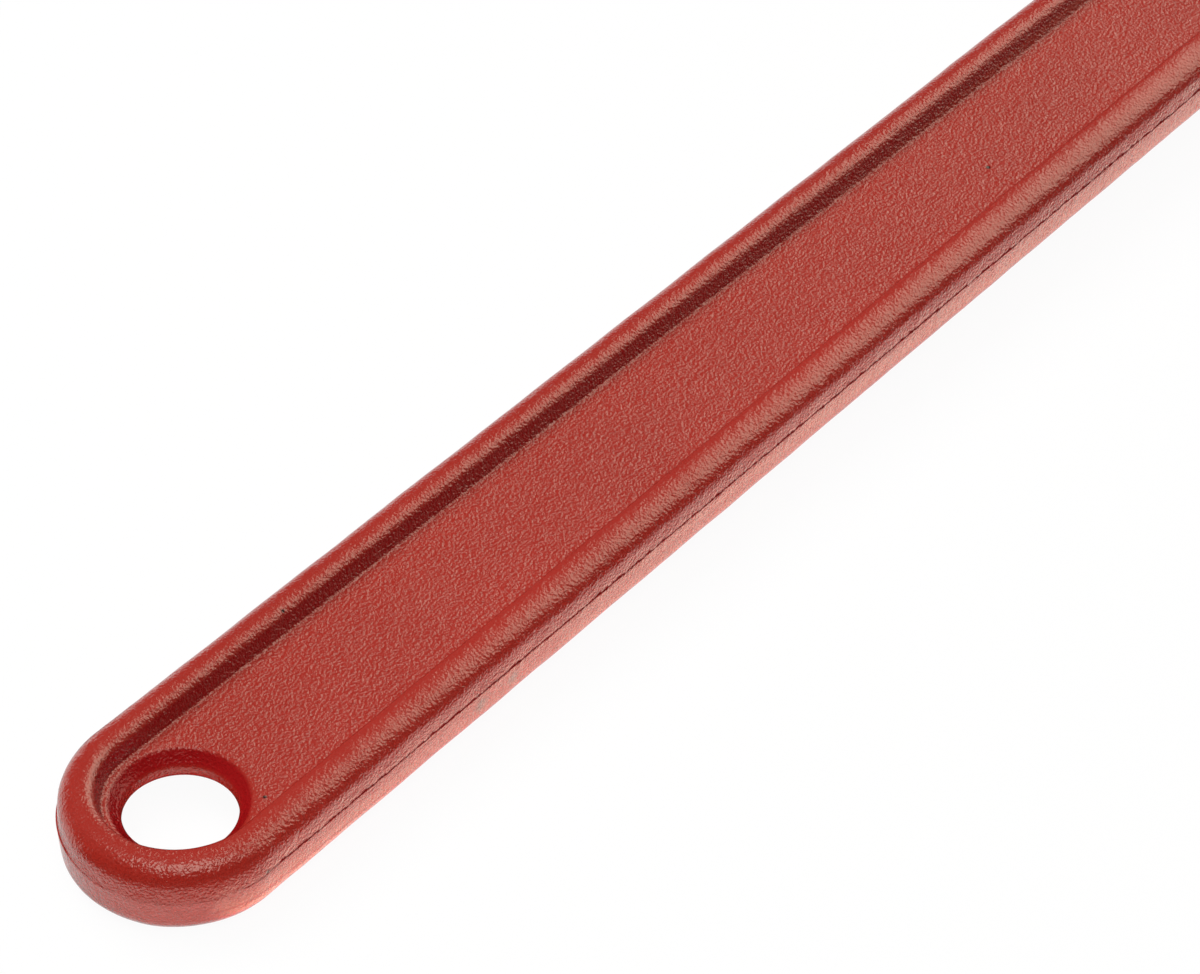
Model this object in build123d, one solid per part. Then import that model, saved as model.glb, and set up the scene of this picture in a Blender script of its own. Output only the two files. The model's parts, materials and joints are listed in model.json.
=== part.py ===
from build123d import *
import math
import os

os.makedirs("parts", exist_ok=True)

# Frame of the part: millimetres. The origin is the centre of the hanging hole,
# +X runs along the handle towards the jaws, the mouth faces -Y and +Z is up.

# Fits
SLIDE_GAP = 0.35        # between flat faces that slide or swing past each other
THREAD_GAP = 0.3        # between the thread flanks, crests and roots of nut and shank
PIN_GAP = 0.05          # radial running clearance of the frame on its pivot pin
SEAT_GAP = 0.05         # each side of the heel jaw's tongue in its slot

# Handle: forged I-beam with a round end
END_R = 18.0            # half width at the round end
TAPER = 0.0066          # half width lost per millimetre towards the jaws
HALF_T = 6.8            # half thickness over the rims
EDGE_R = 3.8            # outer rounding of the rims
EDGE_SHARE = 0.71       # most of a rim's top that its outer rounding may take
RIM_CREST = 0.25        # flat left on top of a rim between its two roundings
PARTING_Z = 0.8         # height of the forging's parting line
MISMATCH = 0.3          # sideways shift of the upper die against the lower
WEB_Z = 2.95            # half thickness of the web
POCKET_R = 11.6         # half width of the pocket at its foot, at the round end
POCKET_DRAFT = 15.0     # degrees, slope of the pocket wall
POCKET_TOP_R = 1.7      # inner rounding of the rims
POCKET_FOOT_R = 0.8     # fillet between pocket wall and web
POCKET_X = 275.0        # centre of the pocket's far round
BEAM_X = 288.0          # end of the straight beam

# Hanging hole: a short cylindrical land, opened out to both faces
HOLE_R = 8.7
HOLE_LAND = 1.8         # length of the cylindrical land
HOLE_LEDGE = 1.3        # web between the flare's mouth and the pocket's foot
HOLE_LIP_R = 1.0        # rounding of the flare into the web

# Neck: set towards the mouth so that the jaw's shank can pass behind it
NECK_FRONT_Y = -35.0
NECK_BACK_Y = -10.0
NECK_FRONT_X = 345.0    # where the front of the neck runs straight again
NECK_BACK_X = 332.0     # where the back of the neck runs straight again
NECK_X = 352.0          # start of the machined neck
BEND_SHARE = 0.5        # how far each end of a bend holds its direction, as a share of its length
NECK_EDGE = 0.8         # edge break on the machined neck
HEEL_X = 480.0          # seat of the heel jaw
HEEL_FRONT_Y = -52.0
HEEL_FLARE_X = 424.0    # where the front of the neck starts to flare
HEEL_FACE = 14.0        # length of the heel's front face

# Heel jaw: a toothed block with a tongue
HEEL_JAW_T = 17.0
HEEL_JAW_H = 17.0       # height of the tooth tips over the seat
HEEL_JAW_FRONT_Y = -54.0
HEEL_JAW_EDGE = 1.0
HEEL_JAW_BACK_Y = -11.0
TONGUE_T = 5.0
TONGUE_DEPTH = 12.0
TONGUE_FRONT_Y = -44.0
TONGUE_BACK_Y = -16.0
HEEL_PIN_R = 2.5
TOOTH_PITCH = 3.2
TOOTH_DEPTH = 1.7
TOOTH_LEAN = 0.3        # share of the pitch taken by a tooth's steep flank

# Frame: straddles the neck from behind
FRAME_X0 = 381.0
FRAME_X1 = 462.0
FRAME_FRONT_Y = -38.0
FRAME_BACK_Y = 42.0
FRAME_HALF_T = 15.0
FRAME_CORNER_R = 6.0
FRAME_EDGE_R = 2.4
DIVIDER_FRONT_Y = -5.5  # front of the wall between neck and shank
PIVOT_X = 407.0
PIVOT_Y = -22.5
PIVOT_R = 5.0
PIVOT_HEAD_R = 8.5
PIVOT_HEAD_H = 3.0
PIVOT_HEAD_ROUND = 1.8  # rounding of the pin's heads

# Adjusting nut
NUT_R = 19.0
NUT_L = 24.0
NUT_X = 407.0           # middle of the nut
NUT_CHAMFER = 1.8
FLUTES = 30
FLUTE_R = 1.15

# Hook jaw: flat shank with the thread on its two edges
SHANK_Y = 13.0
SHANK_HALF_T = 6.75
THREAD_R = 13.0         # crest radius
ROOT_R = 10.8
LEAD = 6.0
CREST_W = 2.0
ROOT_W = 3.4            # tooth width at the root
THREAD_SINK = 0.45      # how deep a thread's ridge starts under the surface that it stands on
SHANK_X0 = 344.0
THREAD_X1 = 452.0
SHANK_CHAMFER = 1.5
MOUTH = 25.0            # between the tooth tips, as drawn
HOOK_HALF_T = 9.0
HOOK_RISE = 4.0         # how far the hook's face opens towards the tip
HOOK_FRONT_Y = -56.0
HOOK_BACK_Y = -8.0      # back end of the hook's teeth
HOOK_DEPTH = 38.0       # height of the hook over its teeth
HOOK_ROUND_R = 9.0      # rounding of the hook's outline
HOOK_THROAT_R = 3.0     # rounding where the hook leaves the shank
HOOK_EDGE_R = 2.2       # rounding of the hook's outer edges

# Leaf springs and their rivets
LEAF_T = 1.0
LEAF_HALF_W = 5.0
RIVET_R = 2.0
RIVET_HEAD_R = 3.4
RIVET_HEAD_H = 1.0
NECK_LEAF_X0 = 427.0
NECK_LEAF_X1 = 458.0
NECK_RIVET_X = 433.0
NECK_RIVET_L = 8.0
JAW_LEAF_X0 = 426.0
JAW_LEAF_X1 = 457.0
JAW_RIVET_X = 451.0
JAW_POCKET_Y = 31.0     # back of the spring's pocket in the frame
JAW_POCKET_X0 = 424.0
JAW_POCKET_X1 = 459.0

# Worked out from the values above
DRAFT = math.radians(POCKET_DRAFT)
FILLET_REACH = math.tan(math.pi / 4 - DRAFT / 2)
RIM_TOP = END_R - POCKET_R - (HALF_T - WEB_Z) * math.tan(DRAFT)
HOLE_MOUTH_R = POCKET_R - HOLE_LEDGE
FORK_HALF = HALF_T + SLIDE_GAP
SHANK_FRONT_Y = SHANK_Y - THREAD_R
SHANK_BACK_Y = SHANK_Y + THREAD_R
TILT = math.atan(TAPER)
SIDE_Y = END_R / math.cos(TILT) - BEAM_X * TAPER
HEEL_TIP_X = HEEL_X + HEEL_JAW_H
HOOK_TIP_X = HEEL_TIP_X + MOUTH
THREAD_X0 = SHANK_X0 + LEAD / 2
WINDOW_X0 = NUT_X - NUT_L / 2 - SLIDE_GAP
WINDOW_X1 = NUT_X + NUT_L / 2 + SLIDE_GAP
WINDOW_FRONT_Y = SHANK_Y - NUT_R - 2 * SLIDE_GAP
WINDOW_BACK_Y = SHANK_Y + NUT_R + 2 * SLIDE_GAP
NEAR = 0.01             # an edge or face this close to a height counts as lying at it
ON_FLOOR = (Align.CENTER, Align.CENTER, Align.MIN)


def closed_face(*curves):
    return make_face(Curve() + list(curves))


def slab(x0, x1, y0, y1, half_t):
    size = Box(x1 - x0, y1 - y0, 2 * half_t)
    return Pos((x0 + x1) / 2, (y0 + y1) / 2, 0) * size


def plate(points, half_t, corner=0.0):
    face = make_face(Polyline(*points, close=True))
    if corner > 0:
        face = fillet(face.vertices(), corner)
    return extrude(face, half_t, both=True)


def bar_along_y(x, y0, y1, radius):
    face = Plane(origin=(x, y0, 0), x_dir=(1, 0, 0), z_dir=(0, 1, 0)) * Circle(radius)
    return extrude(face, y1 - y0)


def rim_edges(solid, z):
    return solid.edges().filter_by_position(Axis.Z, z - NEAR, z + NEAR)


def tooth_cutter(x_start, y_start, x_end, y_end, into):
    # Saw-tooth grooves along a face; "into" is the direction into the metal, +1 or -1 along X.
    count = int(abs(y_end - y_start) / TOOTH_PITCH)
    points = []
    for i in range(count):
        tip = i / count
        root = (i + TOOTH_LEAN) / count
        points.append((x_start + (x_end - x_start) * tip, y_start + (y_end - y_start) * tip))
        x_root = x_start + (x_end - x_start) * root + into * TOOTH_DEPTH
        points.append((x_root, y_start + (y_end - y_start) * root))
    points.append((x_end, y_end))
    points.append((x_end - into * TOOTH_PITCH, y_end))
    points.append((x_start - into * TOOTH_PITCH, y_start))
    return plate(points, 2 * HOOK_HALF_T)


def bend(start, start_slope, end, end_slope):
    hold = BEND_SHARE * (end[0] - start[0])
    start_hold = (start[0] + hold, start[1] + hold * start_slope)
    end_hold = (end[0] - hold, end[1] - hold * end_slope)
    return Bezier(start, start_hold, end_hold, end)


def beam_outline():
    front = (BEAM_X, -SIDE_Y)
    back = (BEAM_X, SIDE_Y)
    tangent_x = END_R * math.sin(TILT)
    tangent_y = END_R * math.cos(TILT)
    neck_front = (NECK_FRONT_X, NECK_FRONT_Y)
    neck_back = (NECK_BACK_X, NECK_BACK_Y)
    return closed_face(
        ThreePointArc((tangent_x, tangent_y), (-END_R, 0), (tangent_x, -tangent_y)),
        Line((tangent_x, -tangent_y), front),
        bend(front, TAPER, neck_front, 0),
        Line(neck_front, (NECK_X + END_R, NECK_FRONT_Y)),
        Line((NECK_X + END_R, NECK_FRONT_Y), (NECK_X + END_R, NECK_BACK_Y)),
        Line((NECK_X + END_R, NECK_BACK_Y), neck_back),
        bend(neck_back, 0, back, -TAPER),
        Line(back, (tangent_x, tangent_y)),
    )


def pocket_outline():
    far_r = POCKET_R - POCKET_X * TAPER
    return closed_face(
        ThreePointArc(
            (POCKET_R * math.sin(TILT), POCKET_R * math.cos(TILT)),
            (-POCKET_R, 0),
            (POCKET_R * math.sin(TILT), -POCKET_R * math.cos(TILT)),
        ),
        Line(
            (POCKET_R * math.sin(TILT), -POCKET_R * math.cos(TILT)),
            (POCKET_X + far_r * math.sin(TILT), -far_r * math.cos(TILT)),
        ),
        ThreePointArc(
            (POCKET_X + far_r * math.sin(TILT), -far_r * math.cos(TILT)),
            (POCKET_X + far_r, 0),
            (POCKET_X + far_r * math.sin(TILT), far_r * math.cos(TILT)),
        ),
        Line(
            (POCKET_X + far_r * math.sin(TILT), far_r * math.cos(TILT)),
            (POCKET_R * math.sin(TILT), POCKET_R * math.cos(TILT)),
        ),
    )


def make_beam():
    # The roundings are limited by the rim, so that a flat crest is left between them.
    edge_r = min(EDGE_R, EDGE_SHARE * RIM_TOP)
    top_r = min(POCKET_TOP_R, (RIM_TOP - edge_r - RIM_CREST) / FILLET_REACH)
    outline = beam_outline()
    upper = extrude(Pos(0, -MISMATCH / 2, PARTING_Z) * outline, HALF_T - PARTING_Z)
    upper = fillet(rim_edges(upper, HALF_T), edge_r)
    lower = extrude(Pos(0, MISMATCH / 2, PARTING_Z) * outline, -HALF_T - PARTING_Z)
    lower = fillet(rim_edges(lower, -HALF_T), edge_r)
    beam = upper + lower
    pocket = extrude(Pos(0, 0, WEB_Z) * pocket_outline(), HALF_T - WEB_Z, taper=-POCKET_DRAFT)
    beam = beam - pocket - mirror(pocket, Plane.XY)
    for z in (WEB_Z, -WEB_Z):
        beam = fillet(rim_edges(beam, z), POCKET_FOOT_R)
    for z in (HALF_T, -HALF_T):
        crest = beam.faces().filter_by_position(Axis.Z, z - NEAR, z + NEAR)[0]
        beam = fillet(crest.inner_wires()[0].edges(), top_r)
    return beam - hole_cutter()


def hole_cutter():
    # The flare runs straight from the land to the web, and its lip is rounded there.
    half_land = HOLE_LAND / 2
    slope = math.atan2(WEB_Z - half_land, HOLE_MOUTH_R - HOLE_R)
    reach = min(HOLE_LIP_R * math.tan(slope / 2), HOLE_LEDGE - POCKET_FOOT_R * FILLET_REACH)
    lip_start = (HOLE_MOUTH_R - reach * math.cos(slope), WEB_Z - reach * math.sin(slope))
    lip_end = (HOLE_MOUTH_R + reach, WEB_Z)
    half = Plane.XZ * closed_face(
        Polyline((0, 0), (HOLE_R, 0), (HOLE_R, half_land), lip_start),
        TangentArc(lip_start, lip_end, tangent=(math.cos(slope), math.sin(slope))),
        Polyline(lip_end, (0, WEB_Z), (0, 0)),
    )
    flare = revolve(half, Axis.Z)
    return flare + mirror(flare, Plane.XY)


def make_handle():
    neck = plate(
        [
            (NECK_X, NECK_BACK_Y),
            (NECK_X, NECK_FRONT_Y),
            (HEEL_FLARE_X, NECK_FRONT_Y),
            (HEEL_X - HEEL_FACE, HEEL_FRONT_Y),
            (HEEL_X, HEEL_FRONT_Y),
            (HEEL_X, NECK_BACK_Y),
        ],
        HALF_T,
    )
    neck = chamfer(rim_edges(neck, HALF_T) + rim_edges(neck, -HALF_T), NECK_EDGE)
    handle = make_beam() + neck
    slot = slab(
        HEEL_X - TONGUE_DEPTH - 2 * SEAT_GAP,
        HEEL_X + HEEL_JAW_H,
        TONGUE_FRONT_Y - 2 * SEAT_GAP,
        TONGUE_BACK_Y + 2 * SEAT_GAP,
        TONGUE_T / 2 + SEAT_GAP,
    )
    handle = handle - slot - heel_pin_at(HALF_T)
    handle = handle - pivot_at() * Cylinder(PIVOT_R, 4 * HALF_T)
    return handle - bar_along_y(NECK_RIVET_X, NECK_BACK_Y - NECK_RIVET_L, NECK_BACK_Y, RIVET_R)


def heel_pin_at(half_l):
    y = (TONGUE_FRONT_Y + TONGUE_BACK_Y) / 2
    return Pos(HEEL_X - TONGUE_DEPTH / 2, y, 0) * Cylinder(HEEL_PIN_R, 2 * half_l)


def pivot_at():
    return Pos(PIVOT_X, PIVOT_Y, 0)


def make_heel_jaw():
    block = plate(
        [
            (HEEL_X, HEEL_JAW_BACK_Y),
            (HEEL_X, HEEL_JAW_FRONT_Y),
            (HEEL_TIP_X, HEEL_JAW_FRONT_Y),
            (HEEL_TIP_X, HEEL_JAW_BACK_Y),
        ],
        HEEL_JAW_T / 2,
    )
    sides = block.edges().filter_by(Axis.Z) + block.edges().filter_by(Axis.X)
    block = chamfer(sides, HEEL_JAW_EDGE)
    block = block - tooth_cutter(
        HEEL_TIP_X, HEEL_JAW_FRONT_Y + HEEL_JAW_EDGE, HEEL_TIP_X, HEEL_JAW_BACK_Y - HEEL_JAW_EDGE, -1
    )
    tongue = slab(HEEL_X - TONGUE_DEPTH, HEEL_X, TONGUE_FRONT_Y, TONGUE_BACK_Y, TONGUE_T / 2)
    return block + tongue - heel_pin_at(HALF_T)


def make_frame():
    outline = [
        (FRAME_X0, FRAME_BACK_Y - FRAME_CORNER_R),
        (FRAME_X0, FRAME_FRONT_Y + 2 * FRAME_CORNER_R),
        (FRAME_X0 + 2 * FRAME_CORNER_R, FRAME_FRONT_Y),
        (PIVOT_X + 3 * PIVOT_R, FRAME_FRONT_Y),
        (FRAME_X1, NECK_BACK_Y - FRAME_CORNER_R),
        (FRAME_X1, FRAME_BACK_Y - FRAME_CORNER_R),
        (FRAME_X1 - FRAME_CORNER_R, FRAME_BACK_Y),
        (FRAME_X0 + FRAME_CORNER_R, FRAME_BACK_Y),
    ]
    frame = plate(outline, FRAME_HALF_T, FRAME_CORNER_R / 2)
    frame = fillet(rim_edges(frame, FRAME_HALF_T) + rim_edges(frame, -FRAME_HALF_T), FRAME_EDGE_R)
    neck_way = slab(0, 2 * FRAME_X1, 2 * FRAME_FRONT_Y, DIVIDER_FRONT_Y, FORK_HALF)
    shank_way = slab(0, 2 * FRAME_X1, SHANK_FRONT_Y - SLIDE_GAP, SHANK_BACK_Y + SLIDE_GAP, FORK_HALF)
    window = slab(WINDOW_X0, WINDOW_X1, WINDOW_FRONT_Y, WINDOW_BACK_Y, 2 * FRAME_HALF_T)
    pocket = slab(JAW_POCKET_X0, JAW_POCKET_X1, SHANK_Y, JAW_POCKET_Y, LEAF_HALF_W + SLIDE_GAP)
    frame = frame - neck_way - shank_way - window - pocket
    frame = frame - pivot_at() * Cylinder(PIVOT_R + PIN_GAP, 4 * FRAME_HALF_T)
    return frame - bar_along_y(JAW_RIVET_X, JAW_POCKET_Y, 2 * FRAME_BACK_Y, RIVET_R)


def make_pivot_pin():
    shaft = Cylinder(PIVOT_R, 2 * (FRAME_HALF_T + SLIDE_GAP))
    head = Cylinder(PIVOT_HEAD_R, PIVOT_HEAD_H, align=ON_FLOOR)
    head = fillet(rim_edges(head, PIVOT_HEAD_H), PIVOT_HEAD_ROUND)
    head = Pos(0, 0, FRAME_HALF_T + SLIDE_GAP) * head
    return pivot_at() * (shaft + head + mirror(head, Plane.XY))


def leaf(x_flat0, x_rivet, x_free, y_back, y_free, side):
    # Flat where it is riveted, then bowed away to its free end; "side" is the Y direction of its face.
    heading = math.copysign(1, x_free - x_flat0)
    front = [(x_flat0, y_back), (x_rivet + heading * RIVET_HEAD_R, y_back), (x_free, y_free)]
    curves = []
    for lift in (0, side * LEAF_T):
        a, b, c = [(x, y + lift) for x, y in front]
        curves.append((Line(a, b), Spline(b, c, tangents=[(heading, 0), (heading, 0)]), a, c))
    (line0, bow0, a0, c0), (line1, bow1, a1, c1) = curves
    face = closed_face(line0, bow0, Line(c0, c1), bow1, line1, Line(a1, a0))
    strip = extrude(face, LEAF_HALF_W, both=True)
    return strip - bar_along_y(x_rivet, y_back - side * LEAF_T, y_back + side * 2 * LEAF_T, RIVET_R)


def make_rivet(x, y_seat, length, side):
    # Shaft runs from the seat against "side"; the head stands on the spring.
    shaft = bar_along_y(x, y_seat - side * length, y_seat + side * LEAF_T, RIVET_R)
    head_y = y_seat + side * LEAF_T
    head = bar_along_y(x, head_y, head_y + side * RIVET_HEAD_H, RIVET_HEAD_R)
    return shaft + head


def make_thread(root_r, crest_r, root_w, crest_w, length):
    path = Helix(LEAD, length, root_r)
    profile = make_face(
        Polyline(
            (-THREAD_SINK, -root_w / 2),
            (crest_r - root_r, -crest_w / 2),
            (crest_r - root_r, crest_w / 2),
            (-THREAD_SINK, root_w / 2),
            close=True,
        )
    )
    start = Plane(origin=path @ 0, x_dir=(1, 0, 0), z_dir=path % 0)
    return sweep(start * profile, path=path, is_frenet=True)


def along_x(x):
    return Pos(x, SHANK_Y, 0) * Rot(0, 90, 0)


def make_nut():
    ring = Circle(NUT_R) - PolarLocations(NUT_R, FLUTES) * Circle(FLUTE_R)
    body = extrude(ring, NUT_L)
    barrel = Cylinder(NUT_R, NUT_L, align=ON_FLOOR)
    body = body & chamfer(barrel.edges().filter_by(GeomType.CIRCLE), NUT_CHAMFER)
    turns = math.ceil(NUT_L / LEAD) + 3
    inner_r = ROOT_R + THREAD_GAP
    groove = make_thread(
        inner_r, THREAD_R + THREAD_GAP, ROOT_W + 2 * THREAD_GAP, CREST_W + 2 * THREAD_GAP, turns * LEAD
    )
    lead_in = (NUT_X - NUT_L / 2 - THREAD_X0) % LEAD
    bore = Cylinder(inner_r, turns * LEAD + 2 * NUT_L, align=ON_FLOOR)
    cutter = Pos(0, 0, -NUT_L) * bore + Pos(0, 0, -LEAD - lead_in) * groove
    nut = body - cutter
    return along_x(NUT_X - NUT_L / 2) * nut


def make_hook_jaw():
    length = THREAD_X1 - SHANK_X0
    core = Cylinder(ROOT_R, length, align=ON_FLOOR)
    core = chamfer(rim_edges(core, 0), SHANK_CHAMFER)
    ridge = make_thread(ROOT_R, THREAD_R, ROOT_W, CREST_W, length - LEAD)
    rod = core + Pos(0, 0, THREAD_X0 - SHANK_X0) * ridge
    plain = Pos(0, 0, length) * Cylinder(THREAD_R, HOOK_TIP_X - THREAD_X1, align=ON_FLOOR)
    shank = along_x(SHANK_X0) * (rod + plain)
    shank = shank & slab(SHANK_X0 - LEAD, HOOK_TIP_X + LEAD, -2 * THREAD_R, 3 * THREAD_R, SHANK_HALF_T)
    return shank + make_hook()


def make_hook():
    root_x = HOOK_TIP_X - MOUTH / 2
    face_front = (HOOK_TIP_X + HOOK_RISE, HOOK_FRONT_Y)
    back_x = HOOK_TIP_X + HOOK_DEPTH
    face = make_face(
        Polyline(
            (root_x, SHANK_BACK_Y + HOOK_EDGE_R),
            (root_x, SHANK_FRONT_Y - HOOK_EDGE_R),
            (HOOK_TIP_X, SHANK_FRONT_Y - HOOK_EDGE_R),
            face_front,
            (HOOK_TIP_X + HOOK_RISE + HOOK_DEPTH / 3, HOOK_FRONT_Y - HOOK_RISE),
            (back_x, SHANK_FRONT_Y - HOOK_DEPTH / 2),
            (back_x, SHANK_Y),
            (back_x - HOOK_DEPTH / 2, SHANK_BACK_Y + HOOK_EDGE_R),
            close=True,
        )
    )
    outer = face.vertices().filter_by_position(Axis.X, HOOK_TIP_X + 2 * HOOK_RISE, back_x)
    face = fillet(outer, HOOK_ROUND_R)
    throat = face.vertices().sort_by_distance((HOOK_TIP_X, SHANK_FRONT_Y - HOOK_EDGE_R))[0]
    face = fillet(throat, HOOK_THROAT_R)
    hook = extrude(face, HOOK_HALF_T, both=True)
    hook = fillet(rim_edges(hook, HOOK_HALF_T) + rim_edges(hook, -HOOK_HALF_T), HOOK_EDGE_R)
    slope = HOOK_RISE / (HOOK_FRONT_Y - SHANK_FRONT_Y + HOOK_EDGE_R)
    back_tip_x = HOOK_TIP_X + slope * (HOOK_BACK_Y - SHANK_FRONT_Y + HOOK_EDGE_R)
    return hook - tooth_cutter(back_tip_x, HOOK_BACK_Y, *face_front, 1)


nodes = {
    "handle": make_handle(),
    "heel_jaw": make_heel_jaw(),
    "heel_jaw_pin": heel_pin_at(HALF_T),
    "frame": make_frame(),
    "pivot_pin": make_pivot_pin(),
    "frame_spring": leaf(
        NECK_LEAF_X0, NECK_RIVET_X, NECK_LEAF_X1, NECK_BACK_Y, DIVIDER_FRONT_Y - LEAF_T - SEAT_GAP, 1
    ),
    "frame_spring_rivet": make_rivet(NECK_RIVET_X, NECK_BACK_Y, NECK_RIVET_L, 1),
    "jaw_spring": leaf(
        JAW_LEAF_X1, JAW_RIVET_X, JAW_LEAF_X0, JAW_POCKET_Y, SHANK_BACK_Y + SLIDE_GAP + LEAF_T, -1
    ),
    "jaw_spring_rivet": make_rivet(JAW_RIVET_X, JAW_POCKET_Y, FRAME_BACK_Y - JAW_POCKET_Y, -1),
    "adjusting_nut": make_nut(),
    "hook_jaw": make_hook_jaw(),
}

for name, solid in nodes.items():
    solid.label = name
    export_step(solid, f"parts/{name}.step")
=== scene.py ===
"""Looks of a pipe wrench: a forged and painted handle, a pivoted frame, jaws, nut, pins and springs."""

import json
import math

import bmesh
import bpy
from bpy.props import FloatProperty, FloatVectorProperty, PointerProperty, StringProperty
from mathutils import Matrix, Vector, noise
from mathutils.geometry import delaunay_2d_cdt
from mathutils.kdtree import KDTree


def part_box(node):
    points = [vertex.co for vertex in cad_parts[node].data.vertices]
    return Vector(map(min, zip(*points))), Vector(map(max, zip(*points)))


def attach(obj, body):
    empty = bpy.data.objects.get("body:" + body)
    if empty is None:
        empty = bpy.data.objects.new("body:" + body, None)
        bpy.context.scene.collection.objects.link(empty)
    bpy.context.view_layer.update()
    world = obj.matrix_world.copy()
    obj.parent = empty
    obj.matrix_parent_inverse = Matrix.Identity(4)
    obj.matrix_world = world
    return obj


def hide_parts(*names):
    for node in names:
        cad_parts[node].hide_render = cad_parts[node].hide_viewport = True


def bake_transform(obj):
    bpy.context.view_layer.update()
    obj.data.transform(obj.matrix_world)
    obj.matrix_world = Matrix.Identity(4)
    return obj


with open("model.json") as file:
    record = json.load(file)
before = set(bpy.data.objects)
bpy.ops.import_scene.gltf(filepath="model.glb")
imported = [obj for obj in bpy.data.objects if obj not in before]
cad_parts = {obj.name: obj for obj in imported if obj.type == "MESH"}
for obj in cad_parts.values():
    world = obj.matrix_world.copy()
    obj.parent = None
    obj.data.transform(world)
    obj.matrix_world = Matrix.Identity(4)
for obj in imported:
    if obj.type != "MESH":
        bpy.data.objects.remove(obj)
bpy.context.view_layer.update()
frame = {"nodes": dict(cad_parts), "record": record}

bl_info = {
    "name": "Pipe Wrench",
    "version": (1, 0, 0),
    "blender": (4, 5, 0),
    "location": "View3D > Sidebar > Pipe Wrench",
    "description": "Gives a pipe wrench its forged, painted handle and the finishes of its steel parts",
    "category": "Object",
}

MM = 0.001
HANDLE_LOW, HANDLE_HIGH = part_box("handle")
HEEL_PIN_LOW, HEEL_PIN_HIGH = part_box("heel_jaw_pin")
PIN_LOW, PIN_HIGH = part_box("pivot_pin")
NUT_LOW, NUT_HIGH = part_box("adjusting_nut")
NUT_MIDDLE = (NUT_LOW + NUT_HIGH) / 2
HANG_HOLE = frame["record"]["mounts"][0]["dims"]

# Meshes: points this near are one, faces this small aren't real, and edges this sharp stay sharp
WELD = 0.002 * MM
SLIVER = 0.001 * MM * MM
CDT_NEAR = 1e-7
SHARP = math.radians(40)
MITRE_LIMIT = 0.5
WEB_GRID = 1.6 * MM
RIM_GRID = 4 * WEB_GRID
HANG_HOLE_POINTS = 120
PIN_HOLE_POINTS = 40
PIVOT_SHANK = 5 * MM

# Roundings: how many steps each takes
RIM_STEPS = 9
POCKET_TOP_STEPS, POCKET_FOOT_STEPS = 5, 4
LIP_STEPS, FLARE_STEPS, HOLE_EDGE_STEPS = 5, 8, 4
WALL_SHARES = (0.0, 0.33, 0.66)
TURNING_MARK = 0.05 * MM

# Parting line: widths of its coarse and fine jags, and how far these widen, narrow and sway its groove
JAG, FINE_JAG = 2.6 * MM, 0.9 * MM
GAP, GAP_JAG, GAP_FINE_JAG = 0.75, 0.45, 0.35
SWAY = 0.5
# Rings across the groove: share of its depth, rise in grooves, and which die's shift they take
GROOVE_RINGS = ((0.3, -1.2, 1), (0.9, -0.75, 0), (1.0, -0.3, 0), (0.25, 0.15, -1))
# Where the side walls start, in grooves below and above the line
WALL_BELOW, WALL_ABOVE = 2.2, 1.1
# The line fades out round the nose, over this share of the end's radius and down to this share of its depth
NOSE_FADE, NOSE_GROOVE = 0.6, 0.15

# Forged skin: its tighter lumps, as shares of the wide ones' width and height
TIGHT_WIDTH, TIGHT_HEIGHT = 1 / 3, 0.35

# Free end of the neck's leaf spring: cuts across its bow, and steel ground off under its tip
LEAF_CUTS = 14
LEAF_GRIND = 0.25 * MM

# Paint: its peel in grain widths and mm of height, the width of its clouds, and the grain's share elsewhere
PEEL_WIDTH, PEEL_HEIGHT = 6, 0.16
DRIFT = 40 * MM
RIM_GRAIN, HOLE_GRAIN = 0.42, 0.4
# Small pits scattered over the paint: spacing, share of places without one, core, edge, and depth in mm
PIT_SPACING, PIT_FREE = 9 * MM, 0.94
PIT_CORE, PIT_EDGE, PIT_DEPTH = 0.252 * MM, 0.45 * MM, 0.2
# Distances from the handle's axis: the pocket's foot, its walls' middle and reach, and the hole's mouth
POCKET_FOOT = (10.5 * MM, 12.5 * MM)
WALL_MIDDLE, WALL_REACH = 12.7 * MM, 2.1 * MM
HOLE_MOUTH = (10.4 * MM, 11.4 * MM)
# Painted shade on the hole's flare, whose sheen is dulled too: its reach, in half widths of the flare, and
# its share
FLARE_CORE, FLARE_FADE, FLARE_SHADE = 0.6, 1.15, 0.75
# Sheared side: how it fades in under the line, and its marks' width, upright stretch, and depth in mm
SHEAR_FADE, SHEAR_WIDTH, SHEAR_STRETCH, SHEAR_DEPTH = 0.6 * MM, 1.1 * MM, 0.12, 0.16
# Painted shade in the parting line: how far the line wanders and how often, its dark core and soft edge,
# and where the nose fades it
LINE_SHADE_WANDER, LINE_SHADE_JAG = 0.5 * MM, 2.2 * MM
LINE_SHADE_CORE, LINE_SHADE_EDGE = 0.35 * MM, 0.65 * MM
LINE_SHADE_NOSE = (-9 * MM, 2 * MM)
# Open pits in the handle's paint and grey rubs on its side: x, y, z and radius in mm, and their solid core
PITS = (
    (8.7, -9.0, 3.0, 0.45),
    (36.0, 12.6, 6.4, 0.4),
    (15.5, 10.9, 3.2, 0.35),
    (-0.7, -18.1, 1.3, 0.5),
)
RUBS = (
    (46.8, -17.6, -2.0, 1.8),
    (54.1, -17.5, -2.0, 1.6),
)
SPOT_CORE = 0.4

# Wear: depth of the rubbed teeth, where the hook's teeth lie and lean, its shank's thread, the nut's ridges
TOOTH = 1.6 * MM
HOOK_TEETH, HOOK_LEAN = (522 * MM, -2.2 * MM), 4 / 53.8
HOOK_FRONT, HOOK_FRONT_FADE = 4 * MM, 1 * MM
THREAD_CREST, THREAD_FADE, THREAD_END = 12.3 * MM, 0.5 * MM, 452 * MM
RIDGE, RIDGE_FADE = 0.35 * MM, 0.3 * MM
# Turned rings: their spacing, and the length of one wave in a wave texture of scale 1
RING_SPACING, WAVE = 1.57 * MM, math.pi / 10
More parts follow.
